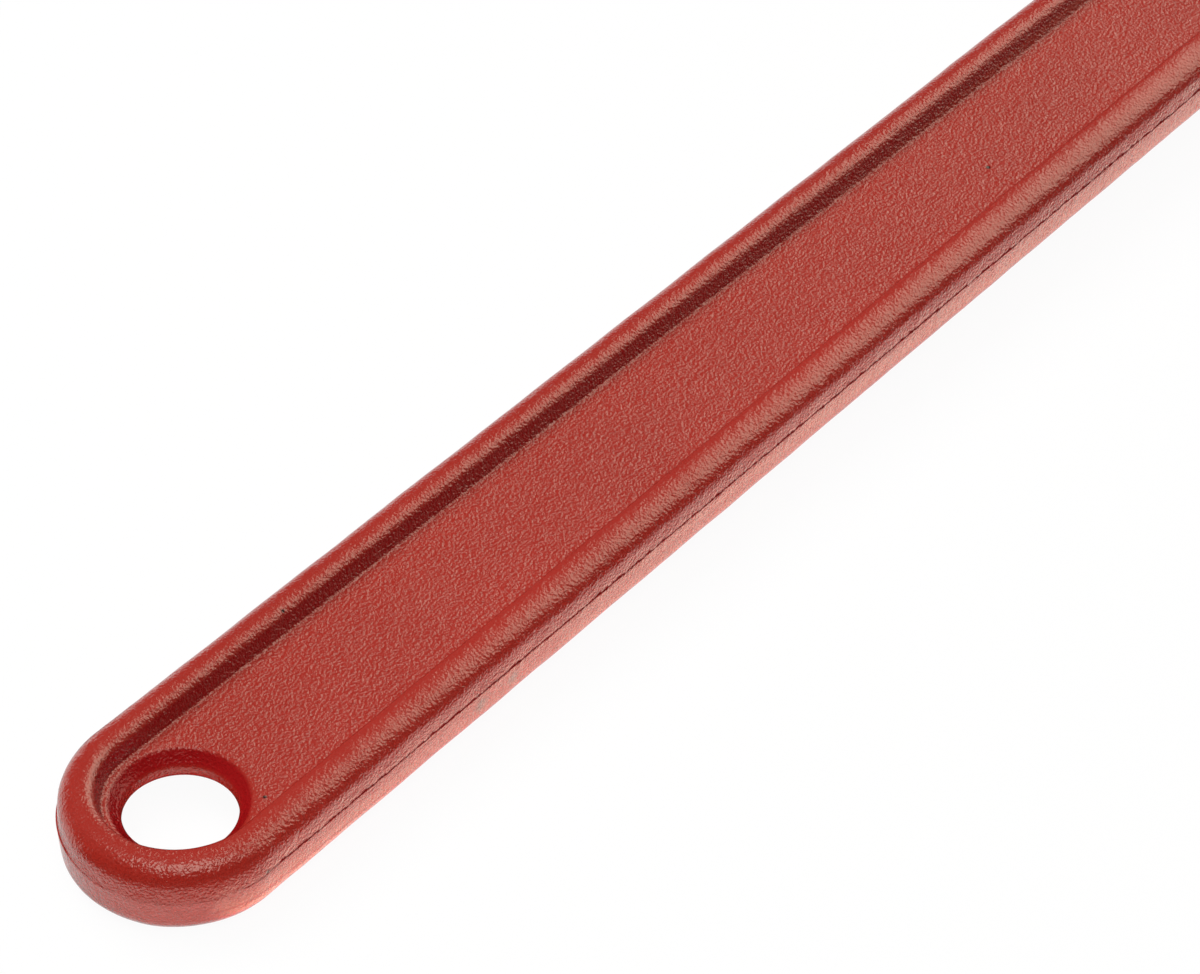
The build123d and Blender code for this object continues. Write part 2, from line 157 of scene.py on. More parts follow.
# How much lighter a thin coating looks, and how much darker turned steel that handling has dulled
COATING_THIN, TURNED_DULL = 1.6, 0.55

# Softboxes: where they aim, how far off they stand, their directions, and their sizes in metres
AIM = Vector((0.15, 0.0, 0.0))
KEY_DISTANCE, KEY_SIZE = 1.5, (2.2, 1.5)
SOFT_DISTANCE, SOFT_SIZE = 1.4, (1.0, 1.0)
TOP_ELEVATION = math.radians(68)
FILL_AZIMUTH, FILL_ELEVATION = math.radians(95), math.radians(65)
# Glows off the board: places along and across the handle, and sizes, in metres
PANEL_PLACE, PANEL_SIZE = (0.145, -0.0207), (0.31, 0.0066)
BOUNCE_PLACE, BOUNCE_SIZE = (0.145, -0.027), (0.31, 0.022)
HOLE_GLOW_SIZE = (0.014, 0.014)
NOSE_REACH, NOSE_SIZE = 0.032, (0.07, 0.026)
# Black cards: the standing one's height, bend round the handle's end and run, and the lying one's corners
CARD_HEIGHT, CARD_BEND, CARD_STEP = 0.020, 0.030, 0.004
CARD_TURN = math.radians(150), math.radians(270)
CARD_RUN = (0.02, -0.036), (0.33, -0.036)
CARD_CORNERS = ((0.004, -0.02), (0.034, -0.02), (0.034, 0.02), (0.004, 0.02))
# The board lies this far under the wrench, and this share of what the eye sees of it is plain white
FLOOR_GAP = 0.3 * MM
FLOOR_WHITE = 0.95
ROOM_LEFT = (0.2, 0.98, 0.0)


class WrenchHandleSizes(bpy.types.PropertyGroup):
    """Sizes of the forged handle."""

    end_radius: FloatProperty(
        name="End radius", description="Half width at the round end",
        default=-HANDLE_LOW.x, unit="LENGTH",
    )
    taper: FloatProperty(
        name="Taper", description="Half width lost per unit of length towards the jaws", default=0.0066,
    )
    half_thickness: FloatProperty(
        name="Half thickness", description="Half thickness over the rims",
        default=HANDLE_HIGH.z, unit="LENGTH",
    )
    edge_radius: FloatProperty(
        name="Rim rounding", description="Outer rounding of the upper rims",
        default=3.6 * MM, unit="LENGTH",
    )
    under_radius: FloatProperty(
        name="Lower rounding", description="Outer rounding of the lower rims",
        default=3.2 * MM, unit="LENGTH",
    )
    side_draft: FloatProperty(
        name="Side draft", description="How far the forged sides lean in, away from the parting line",
        default=math.radians(4), subtype="ANGLE",
    )
    flash: FloatProperty(
        name="Flash", description="How far the trimmed flash still stands out at the parting line",
        default=0.2 * MM, unit="LENGTH",
    )
    parting_height: FloatProperty(
        name="Parting height", description="Height of the line where the two dies met",
        default=0.8 * MM, unit="LENGTH",
    )
    mismatch: FloatProperty(
        name="Die mismatch", description="Sideways shift between the upper and the lower half",
        default=0.3 * MM, unit="LENGTH",
    )
    groove_depth: FloatProperty(
        name="Parting groove", description="Depth of the ragged line left where the flash was sheared off",
        default=0.32 * MM, unit="LENGTH",
    )
    web_height: FloatProperty(
        name="Web height", description="Half thickness of the web", default=2.95 * MM, unit="LENGTH",
    )
    pocket_radius: FloatProperty(
        name="Pocket radius", description="Half width of the pocket at its foot, at the round end",
        default=11.6 * MM, unit="LENGTH",
    )
    pocket_draft: FloatProperty(
        name="Pocket draft", description="Slope of the pocket wall",
        default=math.radians(15), subtype="ANGLE",
    )
    pocket_top_radius: FloatProperty(
        name="Inner rounding", description="Rounding from the rim into the pocket",
        default=1.7 * MM, unit="LENGTH",
    )
    pocket_foot_radius: FloatProperty(
        name="Foot fillet", description="Fillet between pocket wall and web",
        default=0.5 * MM, unit="LENGTH",
    )
    pocket_end: FloatProperty(
        name="Pocket end", description="Centre of the pocket's far round", default=275 * MM, unit="LENGTH",
    )
    hole_radius: FloatProperty(
        name="Hole radius", description="Radius of the hanging hole",
        default=HANG_HOLE["r_mm"] * MM, unit="LENGTH",
    )
    hole_land: FloatProperty(
        name="Hole land", description="Length of the hole's straight wall",
        default=HANG_HOLE["length_mm"] * MM, unit="LENGTH",
    )
    hole_ledge: FloatProperty(
        name="Hole ledge", description="Web between the hole's mouth and the pocket's foot",
        default=0.9 * MM, unit="LENGTH",
    )
    hole_lip: FloatProperty(
        name="Hole lip", description="Rounding of the hole's flare into the web",
        default=0.8 * MM, unit="LENGTH",
    )
    hole_edge: FloatProperty(
        name="Hole edge", description="Rounding between the hole's flare and its wall",
        default=1.3 * MM, unit="LENGTH",
    )
    beam_end: FloatProperty(
        name="Beam end", description="End of the straight beam", default=288 * MM, unit="LENGTH",
    )
    bend_front: FloatProperty(
        name="Front bend end", description="Where the front of the neck runs straight again",
        default=345 * MM, unit="LENGTH",
    )
    bend_back: FloatProperty(
        name="Back bend end", description="Where the back of the neck runs straight again",
        default=332 * MM, unit="LENGTH",
    )
    neck_start: FloatProperty(
        name="Neck start", description="Start of the machined neck", default=352 * MM, unit="LENGTH",
    )
    neck_front: FloatProperty(
        name="Neck front", description="Front face of the neck", default=-35 * MM, unit="LENGTH",
    )
    neck_back: FloatProperty(
        name="Neck back", description="Back face of the neck", default=-10 * MM, unit="LENGTH",
    )
    neck_edge: FloatProperty(
        name="Neck edge", description="Edge rounding of the machined neck", default=0.8 * MM, unit="LENGTH",
    )
    flare_start: FloatProperty(
        name="Flare start", description="Where the neck starts to flare into the heel",
        default=424 * MM, unit="LENGTH",
    )
    heel_front: FloatProperty(
        name="Heel front", description="Front face of the heel", default=HANDLE_LOW.y, unit="LENGTH",
    )
    heel_face: FloatProperty(
        name="Heel face", description="Length of the heel's front face", default=14 * MM, unit="LENGTH",
    )
    heel_end: FloatProperty(
        name="Heel end", description="Seat of the heel jaw", default=HANDLE_HIGH.x, unit="LENGTH",
    )
    lump_height: FloatProperty(
        name="Lump height", description="How far the forged skin swells and sinks",
        default=0.09 * MM, unit="LENGTH",
    )
    lump_width: FloatProperty(
        name="Lump width", description="Distance between the forged skin's lumps",
        default=9 * MM, unit="LENGTH",
    )
    mesh_step: FloatProperty(
        name="Mesh step", description="Spacing of the mesh along the outline",
        default=0.9 * MM, unit="LENGTH",
    )


class WrenchFinishes(bpy.types.PropertyGroup):
    """Colours and texture sizes of the finishes."""

    paint: StringProperty(
        name="Paint", description="Red of the enamel, as an sRGB hex value", default="#AB2C22",
    )
    paint_deep: StringProperty(
        name="Deep paint", description="Red where the enamel lies thicker, as an sRGB hex value",
        default="#99231A",
    )
    # Painted shade: a darker red on the pocket's walls and the hole's flare, which stands for the shade
    # there
    paint_wall_shade: StringProperty(
        name="Wall paint", description="Red that ran thick on the pocket's walls, as an sRGB hex value",
        default="#930410",
    )
    sheen: StringProperty(
        name="Sheen", description="Tint of the enamel's sheen, as an sRGB hex value", default="#FFF7E7",
    )
    # Painted shade: the dark red of the parting line, which stands for the shade in its groove
    parting_shade: StringProperty(
        name="Grime", description="Dirt in the parting line, as an sRGB hex value", default="#6A100D",
    )
    pit: StringProperty(
        name="Pit", description="Bottom of a pit in the paint, as an sRGB hex value", default="#2A1210",
    )
    scuff: StringProperty(
        name="Scuff", description="Grey rubbed onto the paint, as an sRGB hex value", default="#6E5650",
    )
    grain_width: FloatProperty(
        name="Paint grain", description="Width of the blasted grain under the paint",
        default=0.47 * MM, unit="LENGTH",
    )
    grain_height: FloatProperty(
        name="Grain height", description="Height of the blasted grain under the paint",
        default=0.41 * MM, unit="LENGTH",
    )
    phosphate: StringProperty(
        name="Black phosphate", description="Coating of the jaws, as an sRGB hex value", default="#34312E",
    )
    oxide: StringProperty(
        name="Black oxide", description="Coating of the nut, as an sRGB hex value", default="#3B3937",
    )
    bright: StringProperty(
        name="Bright steel", description="Steel that work has rubbed bare, as an sRGB hex value",
        default="#B4B0A9",
    )
    turned: StringProperty(
        name="Turned steel", description="Plain steel of pins and rivets, as an sRGB hex value",
        default="#A7A49E",
    )
    blued: StringProperty(
        name="Blued steel", description="Tempered skin of the springs, as an sRGB hex value",
        default="#323A4A",
    )
    straw: StringProperty(
        name="Straw temper", description="Warm tint in the springs' tempered skin, as an sRGB hex value",
        default="#5A4D42",
    )


class WrenchStage(bpy.types.PropertyGroup):
    """Camera, light and floor."""

    image_size: FloatVectorProperty(
        name="Image size", description="Width and height of the picture in pixels",
        size=2, default=(1200, 974),
    )
    hole_pixel: FloatVectorProperty(
        name="Hole pixel", description="Where the hanging hole's centre lies in the picture",
        size=2, default=(180.5, 814.1),
    )
    heading: FloatProperty(
        name="Heading", description="Direction that the camera looks, from +X towards +Y",
        default=math.radians(40.70), subtype="ANGLE",
    )
    elevation: FloatProperty(
        name="Elevation", description="How steeply the camera looks down",
        default=math.radians(44.42), subtype="ANGLE",
    )
    distance: FloatProperty(
        name="Distance", description="From the camera to the hanging hole, along the view",
        default=831.1 * MM, unit="LENGTH",
    )
    lens: FloatProperty(name="Lens", description="Focal length in millimetres", default=169.5)
    floor_size: FloatProperty(
        name="Floor size", description="Side of the floor", default=60.0, unit="LENGTH",
    )
    floor: StringProperty(
        name="Floor", description="White of the floor, as an sRGB hex value", default="#F4F3F1",
    )
    room_dark: StringProperty(
        name="Dark side", description="Room to the camera's right, as an sRGB hex value", default="#4A4A4A",
    )
    room_light: StringProperty(
        name="Light side", description="Room to the camera's left, as an sRGB hex value", default="#636160",
    )
    key_azimuth: FloatProperty(
        name="Key azimuth", description="Direction of the key softbox, from +X towards +Y",
        default=math.radians(-14), subtype="ANGLE",
    )
    key_elevation: FloatProperty(
        name="Key elevation", description="Height angle of the key softbox",
        default=math.radians(33), subtype="ANGLE",
    )
    key_power: FloatProperty(
        name="Key softbox", description="Power of the softbox to the right", default=22.0, unit="POWER",
    )
    key_colour: StringProperty(
        name="Key colour", description="Colour of the key softbox, as an sRGB hex value", default="#FFF8EC",
    )
    fill_power: FloatProperty(
        name="Fill", description="Power of the fill from behind on the left", default=17.0, unit="POWER",
    )
    top_power: FloatProperty(
        name="Top softbox", description="Power of the softbox above the camera", default=8.4, unit="POWER",
    )
    panel_power: FloatProperty(
        name="Light panel", description="Power of the panel under the handle's edge",
        default=0.0104, unit="POWER",
    )
    panel_colour: StringProperty(
        name="Panel colour", description="Colour of the light panel, as an sRGB hex value",
        default="#FFE2C0",
    )
    bounce_power: FloatProperty(
        name="Bounce", description="Power of the glow off the board along the handle",
        default=0.037, unit="POWER",
    )
    hole_power: FloatProperty(
        name="Hole bounce", description="Power of the glow off the board under the hanging hole",
        default=0.0016, unit="POWER",
    )
    nose_power: FloatProperty(
        name="Nose bounce", description="Power of the glow off the board before the handle's end",
        default=0.006, unit="POWER",
    )


def to_linear(colour):
    """Linear RGBA of an sRGB hex value such as #A23225."""
    channels = [int(colour[i:i + 2], 16) / 255 for i in (1, 3, 5)]
    return [c / 12.92 if c <= 0.04045 else ((c + 0.055) / 1.055) ** 2.4 for c in channels] + [1.0]


def smooth(low, high, value):
    """0 below low, 1 above high, and an S-shaped rise between them."""
    t = min(max((value - low) / (high - low), 0.0), 1.0)
    return t * t * (3 - 2 * t)


def shares(count):
    """Even steps from 0 to 1."""
    return [k / count for k in range(count + 1)]


def add_node(tree, kind, inputs=None, **settings):
    """Add a shader node, with its own settings.

    Inputs, by name or number, are values, sockets to link, or nodes whose first output in use is linked.
    """
    node = tree.nodes.new("ShaderNode" + kind)
    for name, value in settings.items():
        setattr(node, name, value)
    for key, value in (inputs or {}).items():
        if isinstance(value, bpy.types.Node):
            value = next(output for output in value.outputs if output.enabled)
        if isinstance(value, bpy.types.NodeSocket):
            tree.links.new(value, node.inputs[key])
        else:
            node.inputs[key].default_value = value
    return node


def new_material(name):
    """An empty material and its node tree."""
    material = bpy.data.materials.new(name)
    material.use_nodes = True
    material.node_tree.nodes.clear()
    return material, material.node_tree


# Handle: outlines seen from above, counter-clockwise

def along(start, end, step):
    """Points from start up to, but not including, end."""
    count = max(int(math.ceil((end - start).length / step)), 1)
    return [start.lerp(end, i / count) for i in range(count)]


def bend(start, start_hold, end_hold, end, step):
    """Points of a Bezier curve from start up to, but not including, end."""
    count = int(math.ceil((end - start).length / step))
    points = []
    for i in range(count):
        t = i / count
        a, b, c, d = (1 - t) ** 3, 3 * (1 - t) ** 2 * t, 3 * (1 - t) * t ** 2, t ** 3
        points.append(a * start + b * start_hold + c * end_hold + d * end)
    return points


def arc(centre, radius, first, last, step):
    """Points of an arc from angle first up to, but not including, angle last."""
    count = int(math.ceil(abs(last - first) * radius / step))
    angles = [first + (last - first) * i / count for i in range(count)]
    return [centre + radius * Vector((math.cos(a), math.sin(a))) for a in angles]


def handle_outline(sizes):
    """Outline of the handle: round end, tapered beam, S-bends, neck and heel."""
    step = sizes.mesh_step
    tilt = math.atan(sizes.taper)
    side = sizes.end_radius / math.cos(tilt) - sizes.beam_end * sizes.taper
    reach = sizes.end_radius
    tangent = Vector((reach * math.sin(tilt), reach * math.cos(tilt)))
    front, back = Vector((sizes.beam_end, -side)), Vector((sizes.beam_end, side))
    neck_front = Vector((sizes.bend_front, sizes.neck_front))
    neck_back = Vector((sizes.bend_back, sizes.neck_back))
    hold_front = (neck_front.x - front.x) / 2
    hold_back = (neck_back.x - back.x) / 2
    corners = [
        neck_front,
        Vector((sizes.flare_start, sizes.neck_front)),
        Vector((sizes.heel_end - sizes.heel_face, sizes.heel_front)),
        Vector((sizes.heel_end, sizes.heel_front)),
        Vector((sizes.heel_end, sizes.neck_back)),
        neck_back,
    ]
    points = along(Vector((tangent.x, -tangent.y)), front, step)
    points += bend(
        front, front + hold_front * Vector((1, sizes.taper)), neck_front - Vector((hold_front, 0)),
        neck_front, step,
    )
    for start, end in zip(corners, corners[1:]):
        points += along(start, end, 2 * step)
    points += bend(
        neck_back, neck_back - Vector((hold_back, 0)), back + hold_back * Vector((1, -sizes.taper)),
        back, step,
    )
    points += along(back, tangent, step)
    points += arc(Vector((0, 0)), reach, math.pi / 2 - tilt, 3 * math.pi / 2 + tilt, step)
    return points


def pocket_outline(sizes):
    """Outline of the pocket at its foot: two rounds and two tapered sides."""
    step = sizes.mesh_step
    tilt = math.atan(sizes.taper)
    near_r = sizes.pocket_radius
    far_r = near_r - sizes.pocket_end * sizes.taper
    far = Vector((sizes.pocket_end, 0))
    slant = Vector((math.sin(tilt), math.cos(tilt)))
    slant_front = Vector((slant.x, -slant.y))
    points = along(near_r * slant_front, far + far_r * slant_front, step)
    points += arc(far, far_r, tilt - math.pi / 2, math.pi / 2 - tilt, step)
    points += along(far + far_r * slant, near_r * slant, step)
    points += arc(Vector((0, 0)), near_r, math.pi / 2 - tilt, 3 * math.pi / 2 + tilt, step)
    return points


def outward(points):
    """For each point of a counter-clockwise outline, the step that moves it outward by one, mitred."""
    steps = []
    for i, here in enumerate(points):
        before = (here - points[i - 1]).normalized()
        after = (points[(i + 1) % len(points)] - here).normalized()
        mean = Vector((before.y + after.y, -before.x - after.x)).normalized()
        steps.append(mean / max(mean.dot(Vector((before.y, -before.x))), MITRE_LIMIT))
    return steps


# Handle: mesh

def ring(bm, points):
    """Vertices at the given points."""
    return [bm.verts.new(p) for p in points]


def round_ring(bm, centre, radius, height, count):
    """Vertices evenly round an upright axis."""
    angles = [2 * math.pi * i / count for i in range(count)]
    return ring(
        bm, [(centre.x + radius * math.cos(a), centre.y + radius * math.sin(a), height) for a in angles],
    )


def bands(bm, rings):
    """Quads between closed rings, facing away from the rings' centre where each lies above the last."""
    for lower, upper in zip(rings, rings[1:]):
        for i in range(len(lower)):
            j = (i + 1) % len(lower)
            bm.faces.new((lower[i], lower[j], upper[j], upper[i]))


def inside(point, loop):
    """Whether a point lies in a closed loop of 2D points."""
    hit = False
    for a, b in zip(loop, loop[1:] + loop[:1]):
        if (a.y > point.y) != (b.y > point.y):
            if point.x < a.x + (b.x - a.x) * (point.y - a.y) / (b.y - a.y):
                hit = not hit
    return hit


def level_sheet(bm, outer, holes, side, grid):
    """Triangles of a level face between an outer ring and holes. Side is 1 where it faces up, else -1."""
    loops = [outer] + holes
    known = [v for loop in loops for v in loop]
    flat = [v.co.xy for v in known]
    edges = []
    start = 0
    tree = KDTree(len(known))
    for i, point in enumerate(flat):
        tree.insert(point.to_3d(), i)
    tree.balance()
    for loop in loops:
        edges += [(start + i, start + (i + 1) % len(loop)) for i in range(len(loop))]
        start += len(loop)
    outline = [v.co.xy for v in outer]
    openings = [[v.co.xy for v in loop] for loop in holes]
    height = outer[0].co.z
    low_x, high_x = min(p.x for p in outline), max(p.x for p in outline)
    low_y, high_y = min(p.y for p in outline), max(p.y for p in outline)

    def is_face(p):
        return inside(p, outline) and not any(inside(p, o) for o in openings)

    for i in range(1, int((high_x - low_x) / grid)):
        for j in range(1, int((high_y - low_y) / grid)):
            point = Vector((low_x + (i + j % 2 / 2) * grid, low_y + j * grid))
            if tree.find(point.to_3d())[2] > grid / 2 and is_face(point):
                flat.append(point)
    points, _, faces, sources, _, _ = delaunay_2d_cdt(flat, edges, [], 0, CDT_NEAR)
    verts = {}
    for i, p in enumerate(points):
        own = [s for s in sources[i] if s < len(known)]
        verts[i] = known[own[0]] if own else None
    for a, b, c in faces:
        area = (points[b] - points[a]).cross(points[c] - points[a]) / 2
        # Points in a row along a straight side leave slivers outside it, smaller than any real triangle.
        if area < SLIVER or not is_face((points[a] + points[b] + points[c]) / 3):
            continue
        for i in (a, b, c):
            if verts[i] is None:
                verts[i] = bm.verts.new((points[i].x, points[i].y, height))
        corners = [verts[i] for i in (a, b, c)]
        bm.faces.new(corners if side > 0 else corners[::-1])


def ragged(point, width):
    """Uneven value from about -1 to 1 along the parting line, with features of the given width."""
    return noise.noise(Vector((point.x, point.y, 0)) / width)


def outer_rings(bm, sizes, outline, steps):
    """The handle's outside from the lower rim's crest, over the parting line, to the upper rim's crest."""
    top = sizes.half_thickness
    split = sizes.parting_height
    machined = [smooth(sizes.bend_front, sizes.neck_start, p.x) for p in outline]
    rounding = {
        sign: [radius + (sizes.neck_edge - radius) * m for m in machined]
        for sign, radius in ((1, sizes.edge_radius), (-1, sizes.under_radius))
    }
    flash = [sizes.flash * (1 - m) for m in machined]
    shift = [sizes.mismatch / 2 * (1 - m) for m in machined]
    lean = [sizes.side_draft * (1 - m) for m in machined]
    nose = [smooth(-NOSE_FADE * sizes.end_radius, 0.0, p.x) for p in outline]
    groove = [
        sizes.groove_depth * (1 - m) * (NOSE_GROOVE + (1 - NOSE_GROOVE) * n) for m, n in zip(machined, nose)
    ]

    def lay(inset, height, die):
        # Inset and height are lists over the outline. Die is -1 for the upper die's shift, 1 for the other.
        places = []
        for i, p in enumerate(outline):
            q = p - steps[i] * (inset[i] - flash[i])
            places.append((q.x, q.y + die * shift[i], height[i]))
        return ring(bm, places)

    def wall(sign, share, foot):
        height = []
        for r, a in zip(rounding[sign], lean):
            edge = sign * (top - r + r * math.sin(a))
            height.append(foot + (edge - foot) * share)
        inset = [abs(z - split) * math.tan(a) for z, a in zip(height, lean)]
        return lay(inset, height, -sign)

    def rim(sign, share):
        inset, height = [], []
        for r, a in zip(rounding[sign], lean):
            edge = sign * (top - r + r * math.sin(a))
            centre = abs(edge - split) * math.tan(a) + r * math.cos(a)
            turn = a + (math.pi / 2 - a) * share
            inset.append(centre - r * math.cos(turn))
            height.append(sign * (top - r + r * math.sin(turn)))
        return lay(inset, height, -sign)

    jag = [ragged(p, JAG) for p in outline]
    fine = [ragged(p, FINE_JAG) for p in outline]
    gap = [g * (GAP + GAP_JAG * a + GAP_FINE_JAG * b) for g, a, b in zip(groove, jag, fine)]
    sway = [g * SWAY * a for g, a in zip(groove, jag)]
    below = split - WALL_BELOW * sizes.groove_depth
    above = split + WALL_ABOVE * sizes.groove_depth
    rings = [rim(-1, share) for share in reversed(shares(RIM_STEPS))]
    rings += [wall(-1, share, below) for share in reversed(WALL_SHARES)]
    for depth, rise, die in GROOVE_RINGS:
        height = [split + rise * g + s for g, s in zip(groove, sway)]
        rings.append(lay([depth * g for g in gap], height, die))
    rings += [wall(1, share, above) for share in WALL_SHARES]
    rings += [rim(1, share) for share in shares(RIM_STEPS)]
    bands(bm, rings)
    return rings[0], rings[-1]


def pocket_rings(bm, sizes, outline, steps, sign):
    """The pocket's wall from the rim's crest to the web."""
    depth = sizes.half_thickness - sizes.web_height
    spread = depth * math.tan(sizes.pocket_draft)
    reach = math.tan(math.pi / 4 - sizes.pocket_draft / 2)
    lean = math.pi / 2 - sizes.pocket_draft
    top_r, foot_r = sizes.pocket_top_radius, sizes.pocket_foot_radius
    profile = []
    for share in shares(POCKET_TOP_STEPS):
        a = lean * share
        profile.append((spread + top_r * (reach - math.sin(a)), depth - top_r * (1 - math.cos(a))))
    for share in shares(POCKET_FOOT_STEPS):
        a = lean * (1 - share)
        profile.append((foot_r * (math.sin(a) - reach), foot_r * (1 - math.cos(a))))
    rings = []
    for offset, height in profile:
        places = [p + s * offset for p, s in zip(outline, steps)]
        rings.append(ring(bm, [(p.x, p.y, sign * (sizes.web_height + height)) for p in places]))
    bands(bm, rings if sign > 0 else rings[::-1])
    return rings[0], rings[-1]


def hole_rings(bm, sizes):
    """The hanging hole through the web: rounded lips, flares with turning marks and a short land."""
    half_land = sizes.hole_land / 2
    mouth = sizes.pocket_radius - sizes.hole_ledge
    slope = math.atan2(sizes.web_height - half_land, mouth - sizes.hole_radius)
    lip, edge = sizes.hole_lip, sizes.hole_edge
    reach = lip * math.tan(slope / 2)
    profile = []
    for share in shares(LIP_STEPS):
        a = slope * share
        profile.append((mouth + reach - lip * math.sin(a), sizes.web_height - lip * (1 - math.cos(a))))
    lip_r, lip_z = profile[-1]
    turn = math.pi / 2 - slope
    edge_low = half_land - edge * math.tan(turn / 2)
    rounded = []
    for share in shares(HOLE_EDGE_STEPS):
        a = turn * (1 - share)
        rounded.append((sizes.hole_radius + edge * (1 - math.cos(a)), edge_low + edge * math.sin(a)))
    edge_r, edge_z = rounded[0]
    for k, share in enumerate(shares(FLARE_STEPS)[1:-1]):
        mark = TURNING_MARK if k % 2 else -TURNING_MARK
        profile.append((lip_r + (edge_r - lip_r) * share + mark, lip_z + (edge_z - lip_z) * share))
    profile += rounded
    profile += [(r, -z) for r, z in reversed(profile)]
    rings = [round_ring(bm, Vector((0, 0)), radius, height, HANG_HOLE_POINTS) for radius, height in profile]
    bands(bm, rings)
    return rings[0], rings[-1]


def pin_hole(bm, centre, radius, height):
    """A round hole through the neck, where a pin sits."""
    rings = [round_ring(bm, centre, radius, z, PIN_HOLE_POINTS) for z in (height, -height)]
    bands(bm, rings)
    return rings


def forge_skin(bm, sizes):
    """Uneven swelling of the forged beam; the machined neck stays true."""
    bm.normal_update()
    moves = []
    for v in bm.verts:
        forged = 1 - smooth(sizes.bend_back, sizes.bend_front, v.co.x)
        open_hole = smooth(sizes.hole_radius, sizes.pocket_radius, v.co.xy.length)
        wide = noise.noise(v.co / sizes.lump_width)
        tight = noise.noise(v.co / (sizes.lump_width * TIGHT_WIDTH))
        moves.append(v.normal * (sizes.lump_height * forged * open_hole * (wide + TIGHT_HEIGHT * tight)))
    for v, move in zip(bm.verts, moves):
        v.co += move


def make_piece(context, bm, name, material):
    """A piece of a finished mesh, smooth but for its sharp edges."""
    mesh = bpy.data.meshes.new(name)
    bm.to_mesh(mesh)
    bm.free()
    mesh.shade_smooth()
    mesh.set_sharp_from_angle(angle=SHARP)
    mesh.materials.append(material)
    piece = bpy.data.objects.new(name, mesh)
    context.scene.collection.objects.link(piece)
    return piece


class WRENCH_OT_forge_handle(bpy.types.Operator):
    """Model the handle's forged skin with its rims, pockets, parting line and hanging hole"""

    bl_idname = "wrench.forge_handle"
    bl_label = "Forge Handle"

    def execute(self, context):
        sizes = context.scene.wrench_handle
        top = sizes.half_thickness
        bm = bmesh.new()
        outline = handle_outline(sizes)
        lower_top, upper_top = outer_rings(bm, sizes, outline, outward(outline))
        pocket = pocket_outline(sizes)
        pocket_steps = outward(pocket)
        upper_crest, upper_foot = pocket_rings(bm, sizes, pocket, pocket_steps, 1)
        lower_crest, lower_foot = pocket_rings(bm, sizes, pocket, pocket_steps, -1)
        upper_lip, lower_lip = hole_rings(bm, sizes)
        upper_pivot, lower_pivot = pin_hole(bm, (PIN_LOW + PIN_HIGH) / 2, PIVOT_SHANK, top)
        heel_pin_r = (HEEL_PIN_HIGH.y - HEEL_PIN_LOW.y) / 2
        upper_pin, lower_pin = pin_hole(bm, (HEEL_PIN_LOW + HEEL_PIN_HIGH) / 2, heel_pin_r, top)
        level_sheet(bm, upper_top, [upper_crest, upper_pivot, upper_pin], 1, RIM_GRID)
        level_sheet(bm, lower_top, [lower_crest, lower_pivot, lower_pin], -1, RIM_GRID)
        level_sheet(bm, upper_foot, [upper_lip], 1, WEB_GRID)
        level_sheet(bm, lower_foot, [lower_lip], -1, WEB_GRID)
        # The parting line's rings fall together along the machined neck, where nothing was sheared.
        bmesh.ops.remove_doubles(bm, verts=bm.verts, dist=WELD)
        forge_skin(bm, sizes)
        paint = red_enamel(context, "red enamel on blasted forging", True)
        skin = make_piece(context, bm, "handle_skin", paint)
        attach(skin, "handle")
        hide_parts("handle")
        return {"FINISHED"}


# Finishes

